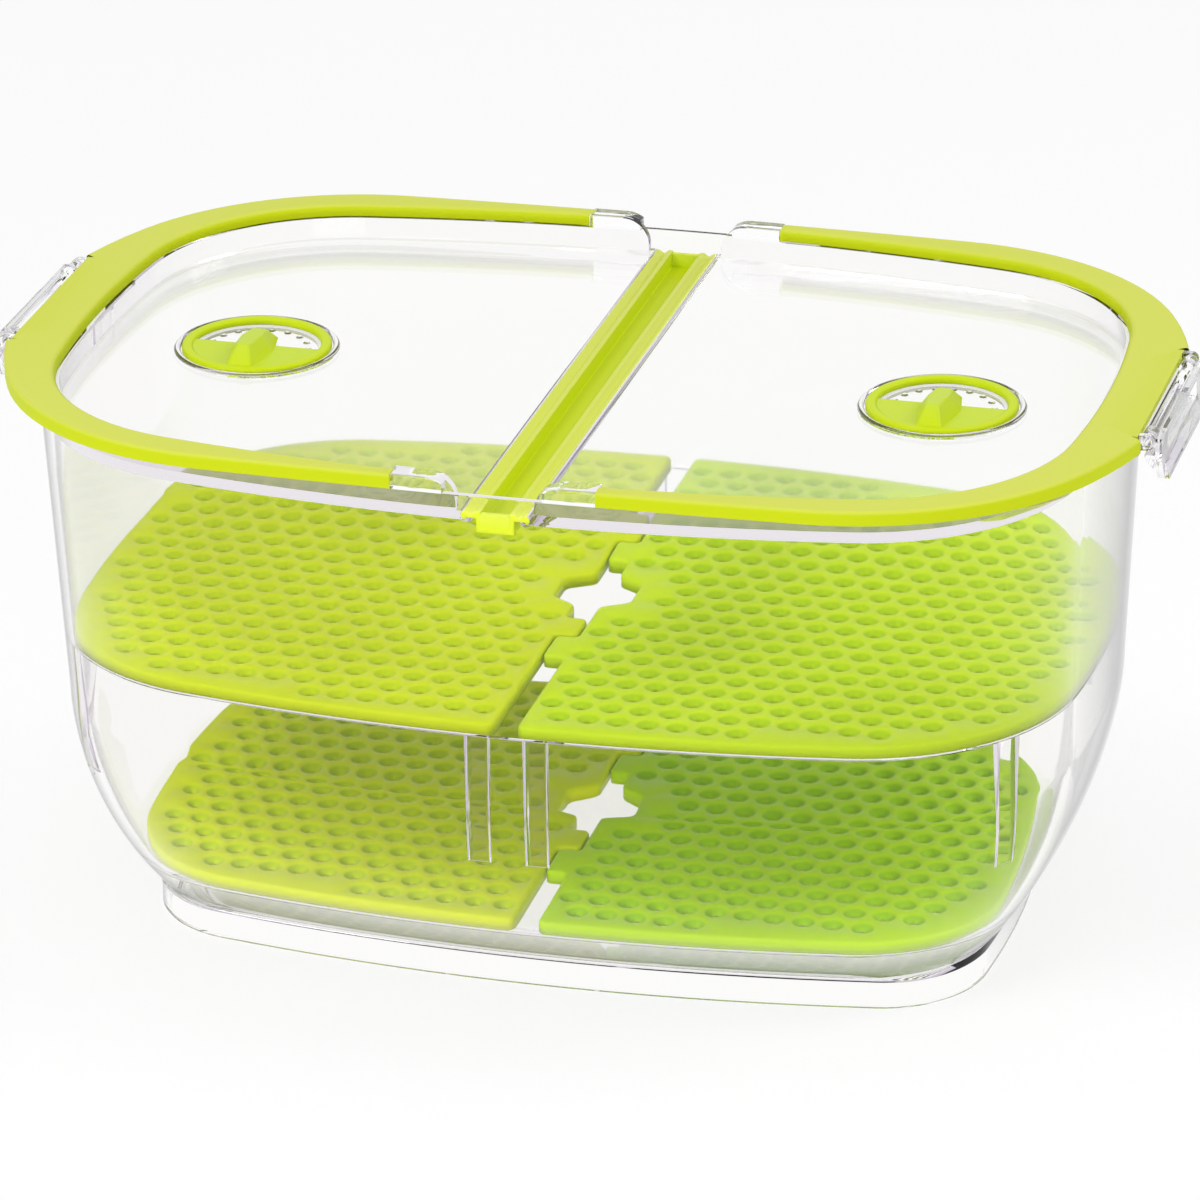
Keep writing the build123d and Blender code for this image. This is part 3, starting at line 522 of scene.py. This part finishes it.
def makeSeal(side):
    s = sealSizes
    flange = (s["flangeLength"], s["flangeWidth"], s["flangeSide"], s["flangeEnd"], s["flangeCorner"])
    rim = tubOutline(rimHeight)
    under = rimHeight + 0.05
    r = s["round"]
    rows = [(flange, under), (flange, lidTop - r)]
    for a in (30, 60):
        rows += [(inset(flange, r * (1 - cos(radians(a)))), lidTop - r * (1 - sin(radians(a))))]
    rows += [(inset(flange, r), lidTop)]
    # a larger round leads down to the inner lip
    r = s["innerRound"]
    rows += [(inset(rim, s["well"] - r), lidTop)]
    for a in (72, 54, 36, 18):
        rows += [(inset(rim, s["well"] - r * (1 - cos(radians(a)))), lidTop - r * (1 - sin(radians(a))))]
    rows += [(inset(rim, s["well"]), lidTop - r), (inset(rim, s["well"]), lidTop - s["innerDrop"])]
    rows += [(inset(rim, s["well"] - s["innerSkirt"]), lidTop - s["innerDrop"])]
    rows += [(inset(rim, s["well"] - s["innerSkirt"]), rimHeight + s["plate"])]
    rows += [(inset(flange, s["outerSkirt"]), rimHeight + s["plate"]), (inset(flange, s["outerSkirt"]), under)]
    bm = bmesh.new()
    loops = skin(bm, rows)
    bmesh.ops.bridge_loops(bm, edges=loops[-1] + loops[0])
    bmesh.ops.recalc_face_normals(bm, faces=bm.faces)
    cutAway(bm, (sealLow.x, 0, 0), (1, 0, 0))
    # straight end beside the latch
    for y in (-s["latchHalf"], s["latchHalf"]):
        geometry = bm.verts[:] + bm.edges[:] + bm.faces[:]
        bmesh.ops.bisect_plane(bm, geom=geometry, dist=1e-4, plane_co=(0, y, 0), plane_no=(0, 1, 0))
    middle = [f for f in bm.faces if abs(f.calc_center_median().y) < s["latchHalf"]]
    near = set(middle) | {e for f in middle for e in f.edges} | {v for f in middle for v in f.verts}
    bmesh.ops.bisect_plane(
        bm, geom=list(near), dist=1e-4, plane_co=(s["latchCut"], 0, 0), plane_no=(-1, 0, 0), clear_inner=True
    )
    # the cut leaves an open corner, which is closed by its two ends and its long face
    for y in (-s["latchHalf"], s["latchHalf"]):
        corner = [v for v in bm.verts if abs(v.co.x - s["latchCut"]) < 1e-3 and abs(v.co.y - y) < 1e-3]
        corner.sort(key=lambda v: v.co.z)
        upright = bm.edges.new((corner[0], corner[-1]))
        end = [e for e in bm.edges if e.is_boundary and all(abs(v.co.y - y) < 1e-3 for v in e.verts)]
        closeLoop(bm, end + [upright])
    opened = [e for e in bm.edges if e.is_boundary]
    closeLoop(bm, [e for e in opened if all(abs(v.co.x - s["latchCut"]) < 1e-3 for v in e.verts)])
    if side == "left":
        bmesh.ops.scale(bm, vec=(-1, 1, 1), verts=bm.verts)
    bmesh.ops.recalc_face_normals(bm, faces=bm.faces)
    markSideShade(bm, lidTop - s["shadeBelow"])
    return steadyShading(finishPiece(
        bm, "rimSeal_" + side, sealGreen, "leaf_" + side, ["rim_seal_" + side], 40.0
    ))


for side in sides:
    makeSeal(side)
print("rim seals made")


# hinge strip

stripSizes = {
    "channelHalf": 4.2, "wall": 1.3, "depth": 4.6, "floor": 1.6, "web": 0.7, "slope": 1.4,
    "hingeX": 8.6, "hingeZ": 160.2, "bead": 1.35, "beadSteps": 8, "endWall": 1.6, "endDrop": 0.6,
    "edgeRound": 0.5, "rise": 0.25, "sunk": 0.1, "shadeBelow": 1.5,
}


def makeStrip():
    s = stripSizes
    top = stripHigh.z
    outer = s["channelHalf"] + s["wall"]
    bottom = top - s["depth"]
    half = [
        (0, bottom - s["floor"]), (outer, bottom - s["floor"]), (outer, s["hingeZ"] - s["web"]),
        (s["hingeX"], s["hingeZ"] - s["web"]),
    ]
    beadLow = atan2(-s["web"], 0.0)
    half += [
        (s["hingeX"] + s["bead"] * cos(a), s["hingeZ"] + s["bead"] * sin(a))
        for a in [beadLow + i * pi / s["beadSteps"] for i in range(s["beadSteps"] + 1)]
    ]
    half += [
        (outer + s["slope"], s["hingeZ"] + s["rise"]), (outer, top), (s["channelHalf"], top),
        (s["channelHalf"], bottom), (0, bottom),
    ]
    bm = bmesh.new()
    verts = [bm.verts.new((x, stripLow.y, z)) for x, z in half]
    for a, b in zip(verts, verts[1:]):
        bm.edges.new((a, b))
    bmesh.ops.mirror(bm, geom=bm.verts[:] + bm.edges[:], axis="X", merge_dist=1e-4)
    bmesh.ops.remove_doubles(bm, verts=bm.verts, dist=1e-4)
    face = bmesh.ops.contextual_create(bm, geom=bm.edges[:])["faces"]
    moved = bmesh.ops.extrude_face_region(bm, geom=face)
    newVerts = [v for v in moved["geom"] if isinstance(v, bmesh.types.BMVert)]
    bmesh.ops.translate(bm, vec=(0, stripHigh.y - stripLow.y, 0), verts=newVerts)
    bmesh.ops.recalc_face_normals(bm, faces=bm.faces)
    roundSharp(bm, s["edgeRound"], 3, 40.0)
    # a low wall shuts each end of the channel
    half = s["channelHalf"] + s["sunk"]
    for y in (stripLow.y, stripHigh.y - s["endWall"]):
        boxIn(bm, (-half, y, bottom - s["sunk"]), (half, y + s["endWall"], top - s["endDrop"]))
    markSideShade(bm, top - s["shadeBelow"])
    return finishPiece(bm, "hingeStrip", stripGreen, "strip", ["hinge_strip"], 30.0)


makeStrip()
print("hinge strip made")


# vents

ventSizes = {
    "baseRadius": 24.2, "collarRadius": 22.4, "plate": 1.0, "bore": 3.18, "markCircle": 15.0, "markCount": 9,
    "markRadius": 1.15, "markHeight": 0.35,
    "dialRadius": 22.0, "ringWidth": 3.2, "ringHeight": 2.0, "floorLift": 0.4, "floorThickness": 0.9,
    "hubRadius": 5.0, "spindle": 3.1,
    # the knob from its tip to its tail: half widths and places of its base, then of its ridge with its heights
    "knobBase": ((3.7, -18.7), (6.5, -4.6), (4.2, 7.6)),
    "knobTop": ((1.9, -13.4, 5.0), (2.7, -4.4, 4.9), (2.1, 3.2, 3.9)),
    "knobRound": 0.8,
}


# spins a row of (radius, height) points into a closed body about the vent's own axis
def spinProfile(bm, points, steps=96):
    verts = [bm.verts.new((r, 0, z)) for r, z in points]
    edges = [bm.edges.new((a, b)) for a, b in zip(verts, verts[1:] + verts[:1])]
    bmesh.ops.spin(
        bm, geom=verts + edges, cent=(0, 0, 0), axis=(0, 0, 1), angle=2 * pi, steps=steps, use_merge=True
    )


def makeVent(side):
    v = ventSizes
    x = sides[side] * ventX
    seat, top = baseLow.z, baseHigh.z
    plateTop = seat + v["plate"]
    bm = bmesh.new()
    spinProfile(bm, [
        (v["bore"], seat), (v["baseRadius"] - 0.4, seat), (v["baseRadius"], seat + 0.4),
        (v["baseRadius"], top - 0.5), (v["baseRadius"] - 0.5, top), (v["collarRadius"] + 0.5, top),
        (v["collarRadius"], top - 0.5), (v["collarRadius"], plateTop), (v["bore"], plateTop),
    ])
    # raised dots on the floor that show through the open half of the dial
    for i in range(v["markCount"]):
        angle = radians(12 + i * 156 / (v["markCount"] - 1))
        place = Matrix.Translation((v["markCircle"] * cos(angle), v["markCircle"] * sin(angle), plateTop))
        bmesh.ops.create_cone(
            bm, cap_ends=True, segments=14, radius1=v["markRadius"], radius2=v["markRadius"] * 0.6,
            depth=v["markHeight"] * 2, matrix=place,
        )
    bmesh.ops.recalc_face_normals(bm, faces=bm.faces)
    bmesh.ops.translate(bm, vec=(x, 0, 0), verts=bm.verts)
    steadyShading(finishPiece(
        bm, "ventBase_" + side, lidClear, "leaf_" + side, ["vent_base_" + side], 50.0
    ))

    bm = bmesh.new()
    outer, inner = v["dialRadius"], v["dialRadius"] - v["ringWidth"]
    low, high = plateTop + 0.05, plateTop + 0.05 + v["ringHeight"]
    spinProfile(bm, [
        (inner + 0.3, low), (outer - 0.3, low), (outer, low + 0.3), (outer, high - 0.8),
        (outer - 0.25, high - 0.25), (outer - 0.8, high), (inner + 0.8, high),
        (inner + 0.25, high - 0.25), (inner, high - 0.8), (inner, low + 0.3),
    ])
    floorLow, floorTop = plateTop + v["floorLift"], plateTop + v["floorLift"] + v["floorThickness"]
    # half floor
    half = bmesh.new()
    bmesh.ops.create_circle(half, cap_ends=True, segments=96, radius=inner + 0.2)
    bmesh.ops.bisect_plane(
        half, geom=half.verts[:] + half.edges[:] + half.faces[:], dist=1e-4,
        plane_co=(0, 0, 0), plane_no=(0, 1, 0), clear_outer=True,
    )
    up = bmesh.ops.extrude_face_region(half, geom=half.faces[:])
    raised = [g for g in up["geom"] if isinstance(g, bmesh.types.BMVert)]
    bmesh.ops.translate(half, vec=(0, 0, v["floorThickness"]), verts=raised)
    bmesh.ops.translate(half, vec=(0, 0, floorLow), verts=half.verts)
    bmesh.ops.recalc_face_normals(half, faces=half.faces)
    # hub and spindle
    posts = ((v["hubRadius"], floorLow, floorTop), (v["spindle"], dialLow.z, floorLow + 0.2))
    for radius, bottom, upper in posts:
        bmesh.ops.create_cone(
            half, cap_ends=True, segments=48, radius1=radius, radius2=radius, depth=upper - bottom,
            matrix=Matrix.Translation((0, 0, (upper + bottom) / 2)),
        )
    # knob: a six-sided block that narrows upwards to a ridge, with its edges rounded
    knob = bmesh.new()
    right = [knob.verts.new((px, py, floorTop - 0.2)) for px, py in v["knobBase"]]
    left = [knob.verts.new((-px, py, floorTop - 0.2)) for px, py in reversed(v["knobBase"])]
    face = knob.faces.new(right + left)
    up = bmesh.ops.extrude_face_region(knob, geom=[face])
    topVerts = [g for g in up["geom"] if isinstance(g, bmesh.types.BMVert)]
    for vert in topVerts:
        row = min(range(len(v["knobBase"])), key=lambda i: abs(v["knobBase"][i][1] - vert.co.y))
        halfTop, along, rise = v["knobTop"][row]
        vert.co = Vector((halfTop if vert.co.x > 0 else -halfTop, along, floorTop + rise))
    bmesh.ops.recalc_face_normals(knob, faces=knob.faces)
    topEdges = [e for e in knob.edges if max(w.co.z for w in e.verts) > floorTop + 1]
    bmesh.ops.bevel(
        knob, geom=topEdges, offset=v["knobRound"], segments=4, profile=0.5, affect="EDGES", material=-1
    )
    for part in (half, knob):
        mesh = bpy.data.meshes.new("part")
        part.to_mesh(mesh)
        part.free()
        bm.from_mesh(mesh)
        bpy.data.meshes.remove(mesh)
    bmesh.ops.translate(bm, vec=(x, 0, 0), verts=bm.verts)
    markSideShade(bm)
    steadyShading(finishPiece(
        bm, "ventDial_" + side, dialGreen, "dial_" + side, ["vent_dial_" + side], 50.0
    ))


for side in sides:
    makeVent(side)
print("vents made")


# latches, from merged copies of their solids with rounded edges

latchSizes = {"edgeRound": 0.35, "segments": 3, "leastAngle": 40.0}


def makeLatch(side):
    bm = copyOfNode("latch_" + side)
    roundSharp(bm, latchSizes["edgeRound"], latchSizes["segments"], latchSizes["leastAngle"])
    name = "latch_" + side
    return finishPiece(bm, "endLatch_" + side, latchClear, name, [name], 40.0, 4.0)


for side in sides:
    makeLatch(side)
print("latches made")


# trays

traySizes = {
    "clearance": 0.5, "height": 4.0, "sheet": 0.9, "split": 3.5, "edgeRound": 1.1,
    "notchHalf": 12.0, "notchDepth": 8.0, "notchSlope": 5.0, "notchRound": 1.8,
    "backLug": (21.5, 34.0), "frontLug": (35.2, 50.0), "lugGap": 0.6, "cornerRound": 2.5,
    "pitchX": 8.6, "rowStep": 8.6, "firstDish": 5.2, "dishRadius": 3.6, "dishSides": 12,
    # width, depth and share of the painted shade of each ring, from a dish's edge to its hole
    # "dishRings": ((0.8, 0.55, 1.0), (0.9, 0.75, 0.75), (0.6, 0.55, 0.45)), "border": 6.3, "notchBorder": 3.0,
    "dishRings": ((0.8, 0.55, 1.0), (0.9, 0.75, 0.75), (0.6, 0.55, 0.45)), "border": 6.3, "notchBorder": 3.0,
}


# the edges of a tray's outline, its inner side notched and its two lugs added, with rounded corners
def trayFace(bm, outline, height):
    t = traySizes
    closeLoop(bm, addOutline(bm, outline, height, (8, 18, 11)))
    bmesh.ops.bisect_plane(
        bm, geom=bm.verts[:] + bm.edges[:] + bm.faces[:], dist=1e-4,
        plane_co=(t["split"], 0, 0), plane_no=(-1, 0, 0), clear_outer=True,
    )
    straight = [e for e in bm.edges if all(abs(v.co.x - t["split"]) < 1e-3 for v in e.verts)]
    ends = sorted({v for e in straight for v in e.verts}, key=lambda v: v.co.y)
    bottom, top = ends[0], ends[-1]
    bmesh.ops.delete(bm, geom=bm.faces[:], context="FACES_ONLY")
    bmesh.ops.delete(bm, geom=straight, context="EDGES")
    edge, deep = t["split"], t["split"] + t["notchDepth"]
    mouth, back = t["notchHalf"], t["notchHalf"] - t["notchSlope"]
    lugX = t["lugGap"] - t["split"]
    near, far = t["backLug"]
    first, last = t["frontLug"]
    walk = [
        (edge, -last), (lugX, -last), (lugX, -first), (edge, -first),
        (edge, -mouth), (deep, -back), (deep, back), (edge, mouth),
        (edge, near), (lugX, near), (lugX, far), (edge, far),
    ]
    path = [bottom] + [bm.verts.new((x, y, height)) for x, y in walk] + [top]
    for a, b in zip(path, path[1:]):
        bm.edges.new((a, b))
    bmesh.ops.bevel(
        bm, geom=[bottom, top], offset=t["cornerRound"], segments=5, profile=0.5, affect="VERTICES", material=-1
    )
    bmesh.ops.bevel(
        bm, geom=path[1:-1], offset=t["notchRound"], segments=4, profile=0.5, affect="VERTICES", material=-1
    )
    return bm.edges[:]


def insideOutline(x, y, outline):
    halfLength, halfWidth, sideRadius, endRadius, roundRadius = outline
    x, y = abs(x), abs(y)
    cx, cy, endAngle, sideAngle = cornerOf(outline)
    angle = atan2(y - cy, x - cx)
    if endAngle < angle < sideAngle:
        return hypot(x - cx, y - cy) < roundRadius
    if hypot(x, y - halfWidth + sideRadius) > sideRadius:
        return False
    return hypot(x - halfLength + endRadius, y) < endRadius


def dishPlaces(outline):
    t = traySizes
    room = inset(outline, t["border"])
    places = []
    rows = ceil(outline[1] / t["rowStep"])
    columns = ceil(outline[0] / t["pitchX"])
    for row in range(-rows, rows + 1):
        y = (row + 0.5) * t["rowStep"]
        shift = t["pitchX"] / 2 if row % 2 else 0.0
        for column in range(columns + 1):
            x = t["split"] + t["firstDish"] + shift + column * t["pitchX"]
            beside = abs(y) > t["notchHalf"] + t["notchBorder"]
            beyond = x > t["split"] + t["notchDepth"] + t["border"]
            if (beside or beyond) and insideOutline(x, y, room):
                places.append((x, y))
    return places


def makeTray(level, side, outline, height):
    t = traySizes
    top = height + t["height"]
    bm = bmesh.new()
    rim = trayFace(bm, outline, height)
    floor = closeLoop(bm, rim)
    up = bmesh.ops.extrude_face_region(bm, geom=floor)
    topVerts = [g for g in up["geom"] if isinstance(g, bmesh.types.BMVert)]
    bmesh.ops.translate(bm, vec=(0, 0, t["height"]), verts=topVerts)
    bmesh.ops.recalc_face_normals(bm, faces=bm.faces)
    topEdges = [e for e in bm.edges if all(v.co.z > top - 1e-3 for v in e.verts)]
    bmesh.ops.bevel(
        bm, geom=topEdges, offset=t["edgeRound"], segments=3, profile=0.5, affect="EDGES", material=-1
    )
    # the flat top and the underside go, and the top comes back with a hole at each dish
    flat = [f for f in bm.faces if len(f.verts) > 30]
    bmesh.ops.delete(bm, geom=flat, context="FACES_ONLY")
    edgeLoop = [e for e in bm.edges if all(v.co.z > top - 1e-3 for v in e.verts)]
    rings = []
    dishes = []
    for x, y in dishPlaces(outline):
        made = bmesh.ops.create_circle(
            bm, cap_ends=True, segments=t["dishSides"], radius=t["dishRadius"],
            matrix=Matrix.Translation((x, y, top)),
        )
        face = made["verts"][0].link_faces[0]
        dishes.append(face)
        rings += face.edges[:]
    bmesh.ops.triangle_fill(bm, use_beauty=True, use_dissolve=False, edges=edgeLoop + rings, normal=(0, 0, 1))
    for f in dishes:
        if f.normal.z < 0:
            f.normal_flip()
    # painted shade: each ring of a dish takes its share of the fuller colour, darker down in the dish than on
    # the top between dishes
    dishShadeLayer = bm.verts.layers.float.new("dishShade")
    for width, depth, share in t["dishRings"]:
        bmesh.ops.inset_individual(bm, faces=dishes, thickness=width, depth=-depth, use_even_offset=True)
        for vert in {v for f in dishes for v in f.verts}:
            vert[dishShadeLayer] = share
    bmesh.ops.delete(bm, geom=dishes, context="FACES_ONLY")
    loose = [v for v in bm.verts if not v.link_faces]
    bmesh.ops.delete(bm, geom=loose, context="VERTS")
    bmesh.ops.recalc_face_normals(bm, faces=bm.faces)
    if side == "left":
        bmesh.ops.rotate(bm, cent=(0, 0, 0), matrix=Matrix.Rotation(pi, 3, "Z"), verts=bm.verts)
    name = "tray_" + level + "_" + side
    green = trayGreens[level + "_" + side]
    shown = "tray" + level.capitalize() + "_" + side
    piece = finishPiece(bm, shown, green, name, [name], 50.0)
    thick = piece.modifiers.new("sheet", "SOLIDIFY")
    thick.thickness = t["sheet"] * mm
    thick.offset = -1.0
    return piece


for side in sides:
    upper = tubOutline(upperLow.z, tubSizes["upperWall"] + traySizes["clearance"])
    lower = tubOutline(lowerLow.z, tubSizes["lowerWall"] + traySizes["clearance"])
    makeTray("upper", side, upper, upperLow.z)
    makeTray("lower", side, lower, lowerLow.z)
print("trays made")


# solids that show as they are

for side in sides:
    for node, material in (("vent_ring_seal_", paleRubber), ("vent_retainer_", lidClear)):
        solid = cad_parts[node + side]
        solid.data.materials.clear()
        solid.data.materials.append(material)


# floor, light and camera

stageLook = {
    "floorHalf": 12.0, "floorDrop": 0.0004, "floorColour": (0.97, 0.97, 0.97), "floorGlow": 0.78,
    "worldLevel": 0.56, "aim": (0, 0, 0.08),
    # place, size and watts of each lamp
    "keyLamp": ((-0.9, -1.1, 1.5), 0.9, 15.0),
    "fillLamp": ((1.2, 0.4, 1.2), 0.7, 7.0),
    "frontLamp": ((0.4, -1.4, 0.55), 0.8, 5.0),
}


def makeStage():
    bm = bmesh.new()
    bmesh.ops.create_grid(bm, x_segments=1, y_segments=1, size=stageLook["floorHalf"])
    mesh = bpy.data.meshes.new("floor")
    bm.to_mesh(mesh)
    bm.free()
    material, tree, shader, output = newMaterial("floorWhite")
    shader.inputs["Base Color"].default_value = (*stageLook["floorColour"], 1)
    shader.inputs["Roughness"].default_value = 0.9
    shader.inputs["Specular IOR Level"].default_value = 0.1
    # white where glass or gloss looks at it, and mostly white to the camera, so that a soft shadow stays
    path = tree.nodes.new("ShaderNodeLightPath")
    white = tree.nodes.new("ShaderNodeEmission")
    white.inputs["Color"].default_value = (1, 1, 1, 1)
    toCamera = tree.nodes.new("ShaderNodeMath")
    toCamera.operation = "MULTIPLY"
    toCamera.inputs[1].default_value = stageLook["floorGlow"]
    toGloss = tree.nodes.new("ShaderNodeMath")
    toGloss.operation = "MAXIMUM"
    toGlass = tree.nodes.new("ShaderNodeMath")
    toGlass.operation = "MAXIMUM"
    choose = tree.nodes.new("ShaderNodeMixShader")
    tree.links.new(path.outputs["Is Camera Ray"], toCamera.inputs[0])
    tree.links.new(toCamera.outputs[0], toGloss.inputs[0])
    tree.links.new(path.outputs["Is Glossy Ray"], toGloss.inputs[1])
    tree.links.new(toGloss.outputs[0], toGlass.inputs[0])
    tree.links.new(path.outputs["Is Transmission Ray"], toGlass.inputs[1])
    tree.links.new(toGlass.outputs[0], choose.inputs["Fac"])
    tree.links.new(shader.outputs["BSDF"], choose.inputs[1])
    tree.links.new(white.outputs["Emission"], choose.inputs[2])
    tree.links.new(choose.outputs["Shader"], output.inputs["Surface"])
    mesh.materials.append(material)
    floor = bpy.data.objects.new("floor", mesh)
    floor.location.z = -stageLook["floorDrop"]
    scene.collection.objects.link(floor)

    world = bpy.data.worlds.new("studio")
    scene.world = world
    world.use_nodes = True
    tree = world.node_tree
    tree.nodes.clear()
    path = tree.nodes.new("ShaderNodeLightPath")
    seen = tree.nodes.new("ShaderNodeBackground")
    seen.inputs["Strength"].default_value = 1.0
    light = tree.nodes.new("ShaderNodeBackground")
    light.inputs["Strength"].default_value = stageLook["worldLevel"]
    either = tree.nodes.new("ShaderNodeMath")
    either.operation = "MAXIMUM"
    orThrough = tree.nodes.new("ShaderNodeMath")
    orThrough.operation = "MAXIMUM"
    mix = tree.nodes.new("ShaderNodeMixShader")
    output = tree.nodes.new("ShaderNodeOutputWorld")
    for background in (seen, light):
        background.inputs["Color"].default_value = (1, 1, 1, 1)
    tree.links.new(path.outputs["Is Camera Ray"], either.inputs[0])
    tree.links.new(path.outputs["Is Glossy Ray"], either.inputs[1])
    tree.links.new(either.outputs[0], orThrough.inputs[0])
    tree.links.new(path.outputs["Is Transmission Ray"], orThrough.inputs[1])
    tree.links.new(orThrough.outputs[0], mix.inputs["Fac"])
    tree.links.new(light.outputs[0], mix.inputs[1])
    tree.links.new(seen.outputs[0], mix.inputs[2])
    tree.links.new(mix.outputs[0], output.inputs["Surface"])


# a soft square lamp aimed at the middle of the tub
def makeLamp(name, place, size, watts):
    lamp = bpy.data.lights.new(name, "AREA")
    lamp.shape = "SQUARE"
    lamp.size = size
    lamp.energy = watts
    lampObject = bpy.data.objects.new(name, lamp)
    lampObject.location = place
    aim = Vector(stageLook["aim"]) - Vector(place)
    lampObject.rotation_euler = aim.to_track_quat("-Z", "Y").to_euler()
    scene.collection.objects.link(lampObject)


cameraSizes = {
    "azimuth": 0.268, "elevation": 0.409, "roll": -0.0126, "distance": 2132.8, "aim": (0.0, 0.0, 80.0),
    "focal": 7262.0, "imageWidth": 1200.0, "sensor": 36.0, "shiftX": 0.00101, "shiftY": 0.02875,
}


def makeCamera():
    c = cameraSizes
    phi, theta, roll = c["azimuth"], c["elevation"], c["roll"]
    right = Vector((cos(phi), sin(phi), 0))
    forward = Vector((-sin(phi) * cos(theta), cos(phi) * cos(theta), -sin(theta)))
    up = right.cross(forward)
    turnedRight = cos(roll) * right + sin(roll) * up
    turnedUp = -sin(roll) * right + cos(roll) * up
    data = bpy.data.cameras.new("camera")
    data.sensor_width = c["sensor"]
    data.lens = c["focal"] / c["imageWidth"] * c["sensor"]
    data.shift_x = c["shiftX"]
    data.shift_y = c["shiftY"]
    data.clip_end = 50
    camera = bpy.data.objects.new("camera", data)
    place = (Vector(c["aim"]) - forward * c["distance"]) * mm
    frameMatrix = Matrix((turnedRight, turnedUp, -forward)).transposed().to_4x4()
    frameMatrix.translation = place
    camera.matrix_world = frameMatrix
    scene.collection.objects.link(camera)
    scene.camera = camera


makeStage()
for lampName in ("keyLamp", "fillLamp", "frontLamp"):
    makeLamp(lampName, *stageLook[lampName])
makeCamera()
print("stage, lamps and camera made")
